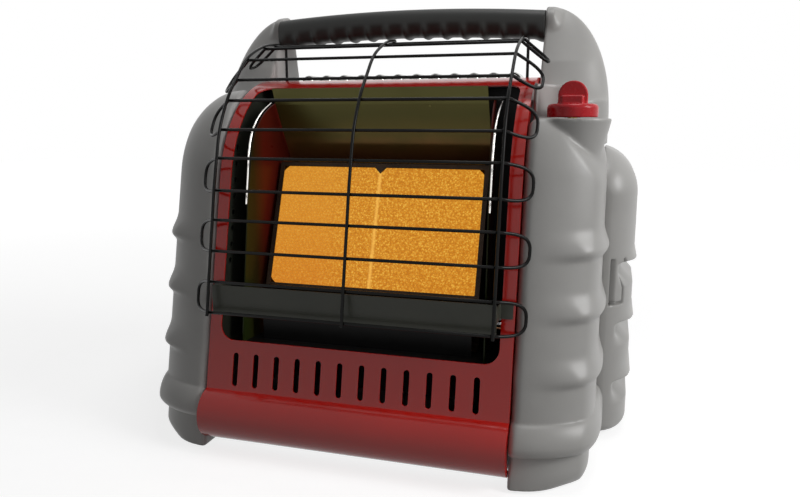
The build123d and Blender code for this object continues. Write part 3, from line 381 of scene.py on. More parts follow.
def make_painted_reflection_sheet():
    """Side reflectors: sheet with painted reflections, green in front and red from the glowing
    tiles next to them.
    """
    material, tree, shader = new_material("painted_reflection_sheet")
    smear = texture(tree, "ShaderNodeTexNoise", 35.0, Detail=3.0)
    depth = value_range(tree, object_axis(tree, "Y"), 0, 1, -0.115, -0.045)
    # painted reflections: near black and green in front, red of the tiles' glow behind
    colour_and_painted_reflection = colour_ramp(tree, depth, [(0.0, (0.008, 0.009, 0.006)), (0.3, (0.020, 0.030, 0.006)),
                                     (0.62, (0.024, 0.016, 0.004)), (0.9, (0.085, 0.008, 0.004))])
    tree.links.new(colour_and_painted_reflection, shader.inputs["Base Color"])
    gloss = value_range(tree, smear.outputs["Fac"], 0.22, 0.4)
    tree.links.new(gloss, shader.inputs["Roughness"])
    shader.inputs["Specular IOR Level"].default_value = 0.1
    add_bump(tree, shader, smear.outputs["Fac"], 0.15, 0.1)
    return material


red_enamel = finish("red_enamel", (0.47, 0.008, 0.004), (0.52, 0.011, 0.006), (0.10, 0.18),
                    patch=9.0, grain=420.0, grain_depth=0.015, specular=0.4)
silver = finish("silver_plastic", (0.325, 0.318, 0.305), (0.355, 0.348, 0.336), (0.36, 0.44),
                grain=1500.0, grain_depth=0.02, specular=0.5)
rubber = finish("grip_rubber", (0.012, 0.0125, 0.0115), (0.022, 0.023, 0.021), (0.42, 0.56),
                grain=1200.0, grain_depth=0.06, specular=0.35)
black_wire = finish("guard_wire", (0.0015, 0.0015, 0.0015), (0.004, 0.004, 0.003), (0.14, 0.22),
                    grain=700.0, grain_depth=0.01, specular=0.12)
black_steel = finish("black_steel", (0.008, 0.008, 0.008), (0.016, 0.016, 0.015), (0.32, 0.5),
                     grain=800.0, specular=0.3)
bar_paint = finish("bar_enamel", (0.030, 0.032, 0.023), (0.042, 0.043, 0.032), (0.3, 0.42),
                   grain=500.0, specular=0.3)
black_moulding = finish("black_plastic", (0.012, 0.012, 0.012), (0.022, 0.022, 0.022),
                        (0.45, 0.6), grain=1400.0)
red_moulding = finish("red_plastic", (0.46, 0.004, 0.010), (0.54, 0.008, 0.016), (0.2, 0.3),
                      grain=300.0, grain_depth=0.003, specular=0.25)
galvanised = finish("galvanised", (0.36, 0.37, 0.38), (0.52, 0.53, 0.54), (0.32, 0.5),
                    metallic=0.9, patch=55.0, grain=300.0)
screw_steel = finish("screw_steel", (0.42, 0.42, 0.42), (0.56, 0.56, 0.56), (0.22, 0.36),
                     metallic=1.0, grain=600.0, stretch=(1, 1, 8))
burner_steel = finish("burner_steel", (0.020, 0.012, 0.008), (0.05, 0.03, 0.018), (0.4, 0.6),
                      metallic=0.5, patch=40.0, specular=0.2)
brass = finish("brass", (0.60, 0.42, 0.16), (0.70, 0.52, 0.24), (0.2, 0.32), metallic=1.0)
aluminium = finish("soft_aluminium", (0.62, 0.62, 0.63), (0.74, 0.74, 0.75), (0.24, 0.36),
                   metallic=1.0, grain=500.0, stretch=(1, 1, 12))
cast_metal = finish("cast_aluminium", (0.42, 0.42, 0.43), (0.54, 0.54, 0.55), (0.38, 0.52),
                    metallic=0.9, grain=450.0, grain_depth=0.12)
copper = finish("copper_lead", (0.55, 0.24, 0.12), (0.66, 0.32, 0.17), (0.25, 0.38), metallic=1.0)
porcelain = finish("electrode", (0.78, 0.75, 0.70), (0.86, 0.84, 0.80), (0.14, 0.22))
foot_rubber = finish("rubber_pad", (0.01, 0.01, 0.01), (0.02, 0.02, 0.02), (0.6, 0.75))
cell_wrap = finish("cell_wrap", (0.03, 0.03, 0.035), (0.06, 0.06, 0.065), (0.2, 0.3), patch=25.0)
glow = make_glow()
mirror = make_mirror()
firebox_paint = make_firebox_paint()
# side reflectors: sheet with painted reflections of the firebox and the glowing tiles
painted_reflection_sheet = make_painted_reflection_sheet()
cover_steel = finish("cover_steel", (0.42, 0.42, 0.40), (0.55, 0.55, 0.53), (0.14, 0.24),
                     metallic=0.9, grain=500.0, grain_depth=0.01)
edge_bright = finish("polished_edge", (0.80, 0.78, 0.74), (0.90, 0.88, 0.85), (0.10, 0.18),
                     metallic=1.0, grain=500.0, grain_depth=0.01)

finish_of_slot = {
    "red_enamel": red_enamel, "galvanised": galvanised, "rubber_pad": foot_rubber,
    "black_steel": black_steel, "screw_steel": screw_steel, "silver_plastic": silver,
    "grip_rubber": rubber, "black_enamel": firebox_paint, "polished_sheet": mirror,
    "burner_ceramic": glow, "burner_steel": burner_steel, "brass": brass,
    "soft_aluminium": aluminium, "copper_lead": copper, "electrode": porcelain,
    "bar_enamel": bar_paint, "guard_wire": black_wire, "cast_aluminium": cast_metal,
    "red_plastic": red_moulding, "black_plastic": black_moulding, "cell_wrap": cell_wrap}
# the side reflectors get the sheet with painted reflections
finish_of_node = {"side_reflectors": painted_reflection_sheet, "top_cover": cover_steel}
slot_of_node = {part["node"]: part["material_slot"] for part in frame["record"]["subparts"]}
for name, slot in slot_of_node.items():
    data = frame["nodes"][name].data
    data.materials.clear()
    data.materials.append(finish_of_node.get(name, finish_of_slot[slot]))


# ---------------------------------------------------------------- casings
plan_wide, plan_deep = 82.0, 80.0    # a lobe's rounded front, across and front to back
plan_scale = 72.0                    # makes the plan's ellipse about a distance in millimetres
side_round = 10.0                    # between the rounded front and the flat side
seam_round = 1.5                     # edges at the seam and at the deck
dome_right, drop_right = 60.0, 0.75  # rounding of a lobe's top, and how wide it is to how tall
dome_left, drop_left = 54.0, 0.65
dome_rise = 2.0
front_round = 9.0                    # lobe's edge beside the red panel
foot_edge = 2.5                      # the same edge at the floor
foot_edge_low, foot_edge_high = 10.0, 70.0
floor_gap = 2.0

flank_foot = 258.0                   # from here up the right lobe's side slopes inwards
flank_tall = 40.0
flank_power, flank_give = 1.5, 13.0  # how the slope grows, and its height to its depth
flank_front = -52.0                  # the slope is full up to this Y
flank_back = 8.0                     # and has ended this far before the seam
flank_round = 8.0                    # added to side_round on the slope

ridge_crests = (95.5, 149.5, 202.5)
ridge_above, ridge_below = 22.0, 9.0  # a long hollow slope over a crest and a short one under it
ridge_power = 1.4
ridge_proud = 5.6
ridge_front = 14.0                   # a ridge rises over this distance behind the front
ridge_fade, ridge_loss = 18.0, 0.35  # and loses this share of itself before the seam

foot_crease = 32.0                   # under the foot's rounded rim
foot_rim = 42.0                      # widest height of the rim
foot_top = 60.0
foot_proud, foot_power = 7.5, 0.7
foot_inset = 3.0                     # side of the foot below the crease
foot_round, foot_toe = 16.0, 9.0     # height and depth of the rounding at the floor
foot_front = 30.0

arch_power = 2.1                     # fullness of the arms from the front, 2 is an ellipse
plan_power = 2.1                     # and from above
arm_scale = 38.0                     # makes the arm's field about a distance in millimetres
arm_wide = 67.0
arm_top = grip_high[2] - 0.5
arm_front, arm_recess = 8.0, 30.0    # front of the arm, and how far it falls back with height
arm_bend, arm_bend_tall = 335.0, 38.0
arm_front_lean, arm_back_lean = 0.16, 0.07
arm_fillet = 9.0
boss_radius, boss_reach = 11.0, 11.0  # end of the arm round the handle's bolt

cup_radius, cup_top = 35.0, 349.0
cup_ahead, cup_across = 12.0, 4.0    # the cup's wall stops this far before and beside the knob
cup_slant, cup_slant_start = 0.9, 6.0
cup_sunk = 4.0
deck_foot, deck_taper = 262.0, 0.24  # funnel under the deck
deck_fillet, cup_fillet = 2.5, 1.5
knob_well, well_deep = 26.5, 4.5     # the recess that the knob sinks into when pushed
stem_hole, stem_hole_deep = 7.4, 9.0
open_side = 20.0                     # the casing has no inner wall up to this far over the bay
casing_step = 1.5


def ridges(y, z):
    """How far the moulded ridges and the foot stand out of a casing's side."""
    behind = y - face_y(z)
    out = 0
    for crest in ridge_crests:
        above = fade(1 - (z - crest) / ridge_above, 0, 1) ** ridge_power * (z >= crest)
        below = fade(1 - (crest - z) / ridge_below, 0, 1) * (z < crest)
        out = out + ridge_proud * (above + below)
    kept = 1 - ridge_loss * fade(y, seam_y - ridge_fade, seam_y)
    out = out * fade(behind, 0, ridge_front) * kept
    reach = np.where(z > foot_rim, foot_top - foot_rim, foot_rim - foot_crease)
    rim = foot_proud * np.clip(1 - ((z - foot_rim) / reach) ** 2, 0, 1) ** foot_power
    toe = foot_toe * np.clip((foot_round - z) / foot_round, 0, 1) ** 2
    toe = foot_inset + toe * fade(behind, 0, foot_front)
    return out + np.where(z > foot_crease, rim, -toe)


def lobe_field(x, y, z, shoulder, dome, drop, with_deck):
    """Front lobe of a casing: rounded in plan, leaning, domed, and cut by the right one's deck."""
    u = np.maximum(x - core_half, 0) / plan_wide
    v = np.maximum(face_y(z) + plan_deep - y, 0) / plan_deep
    ellipse = (np.sqrt(u * u + v * v) - 1) * plan_scale
    flank, corner = 0, side_round
    if with_deck:
        flank = np.maximum(z - flank_foot, 0) ** flank_power / flank_give
        flank = flank * (1 - fade(y, flank_front, seam_y - flank_back))
        corner = side_round + flank_round * fade(z, flank_foot, flank_foot + flank_tall)
    plan = round_and(ellipse, x - shell_side + flank, corner) - ridges(y, z)
    lobe = round_and(plan, (z - shoulder - dome_rise) * drop, dome)
    if with_deck:
        lobe = round_and(lobe, z - shoulder_right, seam_round)
    rise = fade(z, foot_edge_low, foot_edge_high)
    lobe = round_and(lobe, core_half - x, foot_edge + (front_round - foot_edge) * rise)
    return np.maximum(round_and(lobe, y - seam_y, seam_round), floor_gap - z)


def upright_field(x, y, z):
    """The arm that carries the grip: an arch seen from the front, rounded in plan."""
    lift = np.maximum(z - shoulder_right, 0)
    front = arm_front + arm_recess * np.sqrt(np.clip(z - arm_bend, 0, None) / arm_bend_tall)
    front = front + arm_front_lean * np.maximum(z - arm_bend - arm_bend_tall, 0)
    front = np.maximum(front, seam_y)
    back = casing_back - arm_back_lean * lift
    middle, half = (front + back) / 2, (back - front) / 2
    u = np.maximum(x - core_half, 0) / arm_wide
    w = lift / (arm_top - shoulder_right)
    v = np.abs(y - middle) / half
    arch = (u ** arch_power + w ** arch_power) ** (1 / arch_power)
    arm = (arch ** plan_power + v ** plan_power) ** (1 / plan_power) - 1
    handle_y, handle_z = ((grip_low + grip_high) / 2)[1:]
    boss = np.hypot(y - handle_y, z - handle_z) - boss_radius
    boss = round_and(boss, x - core_half - boss_reach, 4)
    return round_and(round_or(arm * arm_scale, boss, 8), bay_roof - z, 2)


def cup_field(x, y, z):
    """The deck under the knob and the wall that rises round its back, towards the core."""
    away = np.hypot(x - knob_x, y - knob_y)
    funnel = away - cup_radius + deck_taper * (shoulder_right - z)
    deck = round_and(funnel, z - shoulder_right, seam_round)
    deck = np.maximum(deck, deck_foot - z)
    ring = np.maximum(away - cup_radius, cup_radius - wall - away)
    slant = knob_y - y + cup_slant * (x - knob_x) - cup_slant_start
    ahead = np.maximum(knob_y - cup_ahead - y, slant)
    ahead = np.maximum(ahead, x - knob_x - cup_across)
    ring = np.maximum(ring, np.maximum(z - cup_top, shoulder_right - cup_sunk - z))
    return deck, np.maximum(ring, ahead)


def casing_field(x, y, z, shoulder, dome, drop, with_knob):
    """The moulded shell of a casing, open towards the core below its shoulder."""
    lobe = lobe_field(x, y, z, shoulder, dome, drop, with_knob)
    solid = round_or(lobe, upright_field(x, y, z), arm_fillet)
    away = np.hypot(x - knob_x, y - knob_y)
    if with_knob:
        deck, ring = cup_field(x, y, z)
        solid = round_or(solid, deck, deck_fillet)
        over = np.maximum(away - cup_radius + wall, shoulder_right - z)
        solid = round_or(np.maximum(solid, -over), ring, cup_fillet)
    has_inner_wall = z > bay_roof + open_side
    closed = np.where(has_inner_wall, core_half + casing_wall - x, -50)
    hollow = np.maximum(solid + casing_wall, closed)
    casing = np.maximum(np.maximum(solid, core_half - x), -hollow)
    if with_knob:
        for radius, deep in ((stem_hole, stem_hole_deep), (knob_well, well_deep)):
            casing = np.maximum(casing, -np.maximum(away - radius, shoulder_right - deep - z))
    return casing


def make_casings():
    """The casings, one with the knob's cup and one without, mirrored."""
    low = np.array([core_half - 2.1, front_y - 3, -3.0])
    high = np.array([core_half + 80, rear_y, grip_high[2] + 3])
    x, y, z = sample_grid(low, high, casing_step)
    for side, shape in (("right", (lobe_right, dome_right, drop_right, True)),
                        ("left", (shoulder_left, dome_left, drop_left, False))):
        field = casing_field(x, y, z, *shape)
        obj = field_object(f"casing_{side}", field, low, casing_step, side == "left")
        place(obj, silver, "silver_plastic", [f"side_shell_{side}"])


# ---------------------------------------------------------------- cylinder doors
door_side = door_high[0] - 3.2
door_lips = (61.0, 121.0, 181.0)
lip_under, lip_over = 25.0, 13.0     # heights of the undercut and of the flare at a lip
lip_edge = 2.6                       # height in which a lip turns into its undercut
lip_cut, lip_flare = 12.5, 2.8
lip_hold = 1.85                      # above 1 the undercut stays deep before it runs out
lip_front, lip_full = -2.0, 24.0     # a lip grows between these Y
door_front_x = shell_side - 3
front_bulge_y, front_bulge = 45.0, 53.0
rear_bulge = 40.0
door_scale = 34.0                    # makes the door's ellipse about a distance in millimetres
door_dome = 46.0
rear_round = 2.0
low_round, door_foot = 10.0, 5.5
inner_edge = 11.5                    # the door's outer skin starts this far from its inner edge
near_wide, near_deep = 6.0, 21.0     # the seam's side of the door is open inside up to here
roof_tall, roof_back = 12.0, 122.0
latch_low, latch_high = 139.0, 184.0
latch_start = 3.4                    # behind the seam
latch_width, latch_channel, latch_deep = 14.0, 3.0, 5.0
latch_pad = 6.0
pin_radius, pin_hole, barrel_radius = 2.5, 2.6, 5.0
knuckle_lows, knuckle_tall = (45.0, 235.0), 28.0
door_step = 1.0
far = 400.0                          # beyond every part


def door_outside(x, y, z):
    """Outside of the right door: bulged in plan, domed, with three lips that fade to the front."""
    notch = 0
    for lip in door_lips:
        under = np.clip(lip_hold * (1 - (lip - z) / lip_under), 0, 1)
        under = under * np.clip((lip - z) / lip_edge, 0, 1)
        over = np.clip(1 - (z - lip) / lip_over, 0, 1) ** 2
        over = over * np.clip((z - lip) / lip_edge + 1, 0, 1)
        notch = notch + lip_cut * under - lip_flare * over
    notch = notch * fade(y, lip_front, lip_full)
    u = np.maximum(x - door_front_x, 0) / (door_side - door_front_x)
    v = np.maximum((front_bulge_y - y) / front_bulge, (y - (rear_y - rear_bulge)) / rear_bulge)
    corner = (np.sqrt(u * u + np.maximum(v, 0) ** 2) - 1) * door_scale + notch
    plan = round_and(corner, seam_y + door_gap - y, seam_round)
    plan = round_and(plan, y - rear_y, rear_round)
    return round_and(plan, z - door_high[2], door_dome)


def door_field(x, y, z):
    """The moulded shell of the right door, with its latch tongue and hinge knuckles."""
    outer = door_outside(x, y, z)
    low_edge = round_and(outer, door_foot - z, low_round)
    solid = np.maximum(low_edge, door_low[0] + inner_edge - x)
    hollow = np.maximum(outer, door_outside(x, y, z - wall)) + wall
    near = box_field(x, y, z, (0, seam_y - 5, -20),
                     (door_front_x - near_wide, seam_y + near_deep, far))
    roof = box_field(x, y, z, (0, seam_y - 5, bay_roof - roof_tall),
                     (door_front_x - 1, roof_back, far))
    beside = np.abs(y - seam_y - latch_start - latch_width / 2)
    height, tall = (latch_low + latch_high) / 2, (latch_high - latch_low) / 2
    pad = np.maximum(beside - latch_width, np.abs(z - height) - tall - latch_pad)
    hollow = np.minimum(np.minimum(np.maximum(hollow, -pad), near), roof)
    door = np.maximum(solid, -hollow)
    slit = np.maximum(beside - latch_width / 2, np.abs(z - height) - tall)
    tongue = np.maximum(beside - latch_width / 2 + latch_channel,
                        np.abs(z - height - latch_channel) - tall)
    channel = np.maximum(np.maximum(slit, -tongue), -(outer + latch_deep))
    door = np.maximum(door, -channel)
    pin_x, pin_y = edges("hinge_pins")[1][:2] - pin_radius
    from_pin = np.hypot(x - pin_x, y - pin_y)
    web = box_field(x, y, z, (pin_x, pin_y + 1, 0), (door_low[0] + 20, rear_y, far))
    for level in knuckle_lows:
        half = knuckle_tall / 2
        knuckle = np.maximum(np.minimum(from_pin - barrel_radius, web),
                             np.abs(z - level - half) - half)
        door = np.minimum(door, knuckle)
    return np.maximum(door, pin_hole - from_pin)


def make_doors():
    """The cylinder doors, which are mirror images."""
    low = np.array([door_low[0] - 3, seam_y - 3, 0.0])
    high = np.array([door_high[0] + 3, rear_y + 3, bay_roof + 3])
    x, y, z = sample_grid(low, high, door_step)
    field = door_field(x, y, z)
    for side in ("right", "left"):
        obj = field_object(f"door_{side}", field, low, door_step, side == "left")
        place(obj, silver, "silver_plastic", [f"cylinder_door_{side}"], f"door_{side}")


# ---------------------------------------------------------------- grip and knob
grip_rings, grip_around, grip_grooves = 280, 56, 13
grip_arch = 6.0                      # the ends lie this far below the middle
grip_power = 2.8                     # fullness of the section, 2 is an ellipse
groove_deep, groove_power = 2.2, 7   # finger scallops, and how narrow the ridges between them are
drum_radius, drum_tall, drum_round = 22.8, 14.0, 4.0
skirt_low = 2.0                      # the knob's skirt starts this far over its hub's foot
fin_half, fin_thick, fin_round = 13.2, 10.4, 1.6
nose_half, nose_tall, nose_ahead, nose_round = 9.5, 7.0, 9.0, 1.4
nose_fillet = 1.0
hub_radius = 6.8
knob_push = 4.0
part_gap = 0.8                       # round the stem and the spring inside the knob
stem_clear = 1.5
knob_step = 0.6


def make_grip():
    """Rubber grip: a low arch, with finger scallops along its lower half."""
    middle = (grip_low + grip_high) / 2
    deep, tall = (grip_high - grip_low)[1] / 2, (grip_high - grip_low)[2] / 2
    vertices, faces = [], []
    for i in range(grip_rings + 1):
        t = i / grip_rings * 2 - 1
        ridge = abs(math.cos(math.pi * (t + 1) / 2 * (grip_grooves + 1))) ** groove_power
        for k in range(grip_around):
            angle = 2 * math.pi * k / grip_around
            c, s = math.cos(angle), math.sin(angle)
            size = (abs(c) ** grip_power + abs(s) ** grip_power) ** (-1 / grip_power)
            under = fade(0.15 - s, 0.0, 0.7)
            size *= 1 - groove_deep / tall * under * (1 - ridge) * fade(1 - abs(t), 0.02, 0.08)
            rise = tall * s * size - grip_arch * t * t
            vertices.append((t * core_half, middle[1] + deep * c * size, middle[2] + rise))
    for i in range(grip_rings):
        for k in range(grip_around):
            a, b = i * grip_around + k, i * grip_around + (k + 1) % grip_around
            faces.append((a, a + grip_around, b + grip_around, b))
    faces.append(tuple(range(grip_around)))
    faces.append(tuple(grip_rings * grip_around + k for k in reversed(range(grip_around))))
    obj = mesh_object("grip", vertices, faces)
    place(obj, rubber, "grip_rubber", ["handle_grip"])


def make_knob():
    """Red knob: a round-shouldered drum, an arched finger plate and a nose that points forward."""
    stem_radius = (stem_high[0] - stem_low[0]) / 2
    spring_high = edges("knob_spring")[1]
    drum_top, fin_shoulder = knob_low[2] + drum_tall, knob_high[2] - fin_half
    base = knob_low[2] + skirt_low
    low = np.array([knob_x - 25, knob_y - 25, knob_low[2] - 2])
    high = np.array([knob_x + 25, knob_y + 25, knob_high[2] + 2])
    x, y, z = sample_grid(low, high, knob_step)
    across, along = np.abs(x - knob_x), y - knob_y
    away = np.hypot(across, along)
    drum = round_and(away - drum_radius, z - drum_top, drum_round)
    arch = np.hypot(across, np.maximum(z - fin_shoulder, 0)) - fin_half
    plate = round_and(arch, np.abs(along) - fin_thick / 2, fin_round)
    nose = round_and(across - nose_half, z - drum_top - nose_tall, nose_round)
    nose = round_and(nose, np.abs(along + nose_ahead) - nose_half, nose_round)
    knob = round_or(round_or(drum, plate, fin_round), nose, nose_fillet)
    knob = np.maximum(knob, base - z)
    hub = np.maximum(away - hub_radius, knob_low[2] - z)
    knob = np.minimum(knob, np.maximum(hub, z - base - 2))
    bore = np.maximum(away - stem_radius - part_gap, z - stem_high[2] - knob_push - stem_clear)
    pocket = np.maximum(away - (spring_high[0] - knob_x) - part_gap,
                        z - spring_high[2] - knob_push - part_gap)
    knob = np.maximum(knob, -np.minimum(bore, pocket))
    obj = field_object("knob", knob, low, knob_step, relax=2)
    place(obj, red_moulding, "red_plastic", ["control_knob"], "knob")


# ---------------------------------------------------------------- wire guard
wire_radius = 1.5
guard_half = 133.0
guard_rows = ((-17.2, 139.8), (-11.4, 167.7), (-5.8, 195.8), (0.0, 224.1), (5.1, 251.1),
              (12.5, 280.5), (20.3, 306.6), (36.4, 333.6), (55.1, 353.6), (78.6, 374.0),
              (115.0, 388.0), (140.0, 392.0))
guard_datum = front_y + 25
end_out = 24.0                       # the loops' ends reach this far past the outer uprights
end_power = 3.2                      # 2 is an ellipse, more is nearer to a rectangle
end_back = 20.0                      # and bend this far back
end_points = 49
wire_sink = 0.3                      # the uprights are welded this far into the rows
leg_back, leg_round = 18.0, 4.0
edge_radius = 1.1                    # bright front edge of the side reflectors


def row(index):
    """Middle of one of the guard's rows."""
    y, z = guard_rows[index]
    return np.array([0.0, guard_datum + y, z])


def add_wire(curve, points, closed=False):
    spline = curve.splines.new("POLY")
    spline.points.add(len(points) - 1)
    for point, at in zip(spline.points, points):
        point.co = (*(np.asarray(at) * MM), 1)
    spline.use_cyclic_u = closed


def wire_curve(name, radius):
    curve = bpy.data.curves.new(name, "CURVE")
    curve.dimensions = "3D"
    curve.bevel_depth = radius * MM
    curve.bevel_resolution = 4
    curve.use_fill_caps = True
    obj = bpy.data.objects.new(name, curve)
    bpy.context.scene.collection.objects.link(obj)
    return obj


def loop_points(index):
    """One loop of the guard: two rows whose shared ends bend back and turn round."""
    low, high = row(index), row(index + 1)
    along = (high - low) / np.linalg.norm(high - low)
    inwards = np.array([0, along[2], -along[1]])
    radius = np.linalg.norm(high - low) / 2
    middle = (low + high) / 2
    side = []
    for angle in np.linspace(-math.pi / 2, math.pi / 2, end_points):
        across = math.copysign(abs(math.sin(angle)) ** (2 / end_power), angle)
        reach = abs(math.cos(angle)) ** (2 / end_power)
        side.append(middle + along * radius * across + inwards * end_back * reach
                    + np.array([guard_half + end_out * reach, 0, 0]))
    mirrored = [p * np.array([-1, 1, 1]) for p in reversed(side)]
    return side + mirrored


def smooth_through(points, steps=8):
    """Points of a smooth curve that passes through the given ones."""
    points = [2 * points[0] - points[1], *points, 2 * points[-1] - points[-2]]
    out = []
    for a, b, c, d in zip(points, points[1:], points[2:], points[3:]):
        for t in np.linspace(0, 1, steps, endpoint=False):
            out.append(0.5 * (2 * b + (c - a) * t + (2 * a - 5 * b + 4 * c - d) * t * t
                              + (3 * b - a - 3 * c + d) * t ** 3))
    return out + [points[-2]]


def upright_points(x, with_leg):
    """An upright wire, welded onto the rows; a leg bends from its end down to the core."""
    step = 2 * wire_radius - wire_sink
    at = np.array([x, 0, 0])
    points = [at + row(0) + np.array([0, -step, -3])]
    for index in range(1, len(guard_rows) - 1):
        along = row(index + 1) - row(index - 1)
        along /= np.linalg.norm(along)
        points.append(at + row(index) + step * np.array([0, -along[2], along[1]]))
    points.append(at + row(len(guard_rows) - 1) + np.array([0, 4, step]))
    points = smooth_through(points)
    if with_leg:
        last = points[-1]
        for angle in np.linspace(0, math.pi / 2, 7)[1:]:
            back, down = leg_round * math.sin(angle), leg_round - leg_round * math.cos(angle)
            points.append(last + np.array([0, leg_back + back, -down]))
        points.append(np.array([x, points[-1][1], body_height]))
    return points


def make_guard():
    """Six loops of wire and three uprights."""
    obj = wire_curve("guard_wires", wire_radius)
    for index in range(0, len(guard_rows), 2):
        add_wire(obj.data, loop_points(index), closed=True)
    for x in (-guard_half, 0, guard_half):
        add_wire(obj.data, upright_points(x, x != 0))
    place(obj, black_wire, "guard_wire", ["wire_guard"])


def make_reflector_edges():
    """The bright rolled edge along the front of each side reflector."""
    side_x = edges("side_reflectors")[1][0] - 1.0
    line = [(face_y(z) + back, z) for z, back in ((235, 5), (262, 4.5), (288, 4))]
    line += [(-63, 307), (-45, 322), (-23, 332)]
    obj = wire_curve("reflector_edges", edge_radius)
    for side in (-1, 1):
        points = [np.array([side * side_x, y, z]) for y, z in line]
        add_wire(obj.data, smooth_through(points))
    place(obj, edge_bright, "polished_sheet")


# ---------------------------------------------------------------- burner tiles
tile_wide, tile_tall, tile_thick = 106.8, 127.0, 13.0
tile_lean = math.radians(20)
tile_corner, tile_inner_corner = 18.0, 0.4
tile_seam = 0.2                      # half the gap between the tiles
pore_pitch, pore_radius, pore_depth = 3.4, 1.05, 1.6
pore_rim = 1.0                       # a pore stays this far inside the outline
least_cell = 0.3                     # smaller cut cells are left out, in square millimetres


def inside_tile(u, v):
    """The nearest place to (u, v) inside a tile's outline, and how deep inside it (u, v) lies."""
    corner = tile_corner if u > tile_wide / 2 else tile_inner_corner
    near_u = np.clip(u, corner, tile_wide - corner)
    near_v = np.clip(v, corner, tile_tall - corner)
    away = math.hypot(u - near_u, v - near_v)
    inset = min(u, v, tile_wide - u, tile_tall - v, corner - away if away else tile_tall)
    if away > corner:
        u = near_u + (u - near_u) * corner / away
        v = near_v + (v - near_v) * corner / away
    return (u, v), inset


def hexagon(u, v, radius):
    return [(u + radius * math.sin(math.pi / 3 * k), v + radius * math.cos(math.pi / 3 * k))
            for k in range(6)]


def area(points):
    pairs = zip(points, points[1:] + points[:1])
    return abs(sum(a[0] * b[1] - b[0] * a[1] for a, b in pairs)) / 2


def tile_mesh(side):
    """One tile: hexagonal cells with a pore in each, cut to the outline, and a plain back."""
    mesh = bmesh.new()
    verts = {}

    def vertex(u, v, depth):
        key = (round(u, 2), round(v, 2), depth)
        if key not in verts:
            y = tile_low[1] + v * math.sin(tile_lean) + depth * math.cos(tile_lean)
            z = tile_low[2] + (tile_thick - depth) * math.sin(tile_lean) + v * math.cos(tile_lean)
            verts[key] = mesh.verts.new((side * (tile_seam + u) * MM, y * MM, z * MM))
        return verts[key]

    row_step = pore_pitch * math.sqrt(3) / 2
    for r in range(-1, int(tile_tall / row_step) + 2):
        for c in range(-1, int(tile_wide / pore_pitch) + 2):
            u, v = (c + 0.5 * (r % 2)) * pore_pitch, r * row_step
            cell = [inside_tile(*p)[0] for p in hexagon(u, v, pore_pitch / math.sqrt(3))]
            if area(cell) < least_cell:
                continue
            outer = list(dict.fromkeys(vertex(*p, 0) for p in cell))
            if inside_tile(u, v)[1] < pore_radius + pore_rim:
                mesh.faces.new(outer)
                continue
            mouth = [vertex(*p, 0) for p in hexagon(u, v, pore_radius)]
            floor = [vertex(*p, pore_depth) for p in hexagon(u, v, pore_radius)]
            for k in range(6):
                n = (k + 1) % 6
                mesh.faces.new((outer[k], outer[n], mouth[n], mouth[k]))
                mesh.faces.new((mouth[k], mouth[n], floor[n], floor[k]))
            mesh.faces.new(floor)
    rim = [e for e in mesh.edges if e.is_boundary]
    pushed = bmesh.ops.extrude_edge_only(mesh, edges=rim)["geom"]
    pushed = [part for part in pushed if isinstance(part, bmesh.types.BMVert)]
    back = np.array([0, math.cos(tile_lean), -math.sin(tile_lean)]) * tile_thick * MM
    bmesh.ops.translate(mesh, vec=back, verts=pushed)
    bmesh.ops.holes_fill(mesh, edges=[e for e in mesh.edges if e.is_boundary], sides=0)
    bmesh.ops.recalc_face_normals(mesh, faces=mesh.faces)
    return mesh


def make_tiles():
    """Both burner tiles."""
    for name, side in (("right", 1), ("left", -1)):
        obj = object_from(tile_mesh(side), f"tile_face_{name}")
        place(obj, glow, "burner_ceramic", [f"tile_{name}"])


# ---------------------------------------------------------------- CAD shapes with softened edges
def soften(node, name, width, angle=35):
    """A copy of a CAD node's mesh with small rounds on its edges, in place of the node."""
    source = frame["nodes"][node]
    mesh = bmesh.new()
    mesh.from_mesh(source.data)
    bmesh.ops.remove_doubles(mesh, verts=mesh.verts, dist=0.01 * MM)
    bmesh.ops.dissolve_limit(mesh, angle_limit=math.radians(0.5), verts=mesh.verts,
                             edges=mesh.edges)
    obj = object_from(mesh, name)
    obj.data.shade_smooth()
    obj.data.set_sharp_from_angle(angle=math.radians(angle))
    bevel = obj.modifiers.new("edge", "BEVEL")
    bevel.width = width * MM
    bevel.segments = 2
    bevel.limit_method = "ANGLE"
    bevel.angle_limit = math.radians(angle)
    bevel.harden_normals = True
    slot = slot_of_node[node]
    place(obj, finish_of_slot[slot], slot, [node], source["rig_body"])


# ---------------------------------------------------------------- stage, light and camera
def make_stage():
    """A pale floor that the camera sees as white far away and a little darker near the object."""
    half = 4000.0
    floor = mesh_object("floor", [(-half, -half, 0), (half, -half, 0), (half, half, 0),
                                  (-half, half, 0)], [(0, 1, 2, 3)])
    material, tree, shader = new_material("floor_paper")
    grain = texture(tree, "ShaderNodeTexNoise", 40.0, Detail=3.0)
    paper = colour_ramp(tree, grain.outputs["Fac"], [(0.3, (0.33, 0.33, 0.33)),
                                                     (0.7, (0.35, 0.35, 0.35))])
    tree.links.new(paper, shader.inputs["Base Color"])
    shader.inputs["Roughness"].default_value = 0.9
    shader.inputs["Specular IOR Level"].default_value = 0.1
    shader.inputs["Emission Color"].default_value = (1, 1, 1, 1)
    coords = tree.nodes.new("ShaderNodeTexCoord")
    length = tree.nodes.new("ShaderNodeVectorMath")
    length.operation = "LENGTH"
    tree.links.new(coords.outputs["Object"], length.inputs[0])
    lift = value_range(tree, length.outputs["Value"], 0.79, 0.98, 0.5, 2.2)
    lift = math_node(tree, "MULTIPLY", seen_directly(tree), lift)
    tree.links.new(lift, shader.inputs["Emission Strength"])
    floor.data.materials.append(material)


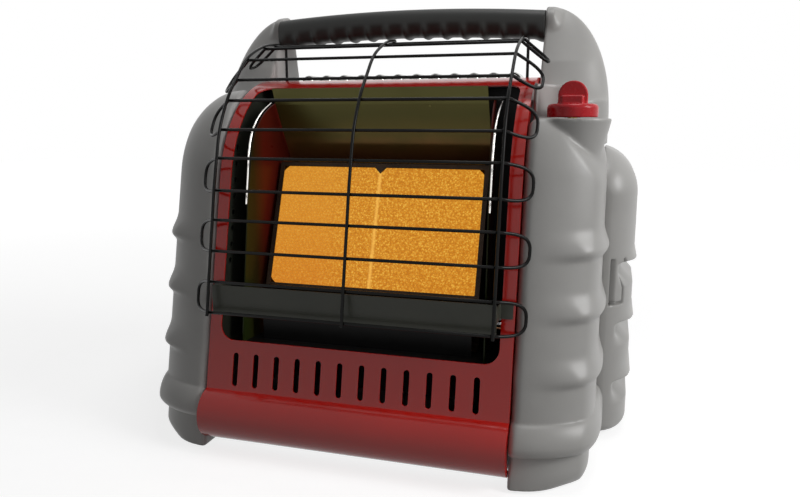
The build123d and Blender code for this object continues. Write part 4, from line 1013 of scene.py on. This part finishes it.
def seen_directly(tree):
    """1 for camera, glossy and transmission rays, 0 for the light that falls on things."""
    path = tree.nodes.new("ShaderNodeLightPath")
    seen = math_node(tree, "MAXIMUM", path.outputs["Is Camera Ray"], path.outputs["Is Glossy Ray"])
    return math_node(tree, "MAXIMUM", seen, path.outputs["Is Transmission Ray"])


def make_world():
    """White where it is seen, and a faint even light on things."""
    world = bpy.data.worlds.new("studio")
    world.use_nodes = True
    bpy.context.scene.world = world
    tree = world.node_tree
    background = tree.nodes["Background"]
    background.inputs["Color"].default_value = (1, 1, 1, 1)
    strength = value_range(tree, seen_directly(tree), 0.055, 1.0)
    tree.links.new(strength, background.inputs["Strength"])


def add_lamp(name, at, target, size, power):
    """A rectangular lamp in metres and watts."""
    lamp = bpy.data.lights.new(name, "AREA")
    lamp.shape = "RECTANGLE"
    lamp.size, lamp.size_y = size
    lamp.energy = power
    obj = bpy.data.objects.new(name, lamp)
    obj.location = at
    aim = Vector(target) - Vector(at)
    obj.rotation_euler = aim.to_track_quat("-Z", "Y").to_euler()
    bpy.context.scene.collection.objects.link(obj)


def make_lights():
    add_lamp("key", (1.55, -0.25, 1.0), (0.1, 0, 0.2), (0.6, 0.8), 17)
    add_lamp("top", (0.35, 0.15, 2.1), (0, 0, 0.2), (0.9, 0.7), 10)
    add_lamp("fill", (1.1, -1.7, 0.9), (0, 0, 0.2), (1.2, 0.9), 2.4)


def make_camera():
    """The camera of the photograph, fitted to the object's edges."""
    camera = bpy.data.cameras.new("camera")
    camera.lens = 31.95
    camera.sensor_width = 36.0
    obj = bpy.data.objects.new("camera", camera)
    obj.location = (0.2192, -0.6988, 0.3168)
    obj.rotation_euler = (math.radians(79.63), 0, math.radians(16.50))
    bpy.context.scene.collection.objects.link(obj)
    bpy.context.scene.camera = obj


make_camera()
make_world()
make_lights()
make_stage()
make_casings()
make_doors()
make_grip()
make_knob()
make_guard()
make_reflector_edges()
make_tiles()
soften("front_panel", "red_panel", 0.7)
soften("front_bar", "flat_bar", 0.4)


bpy.context.scene.view_settings.view_transform = "Standard"
bpy.context.view_layer.update()
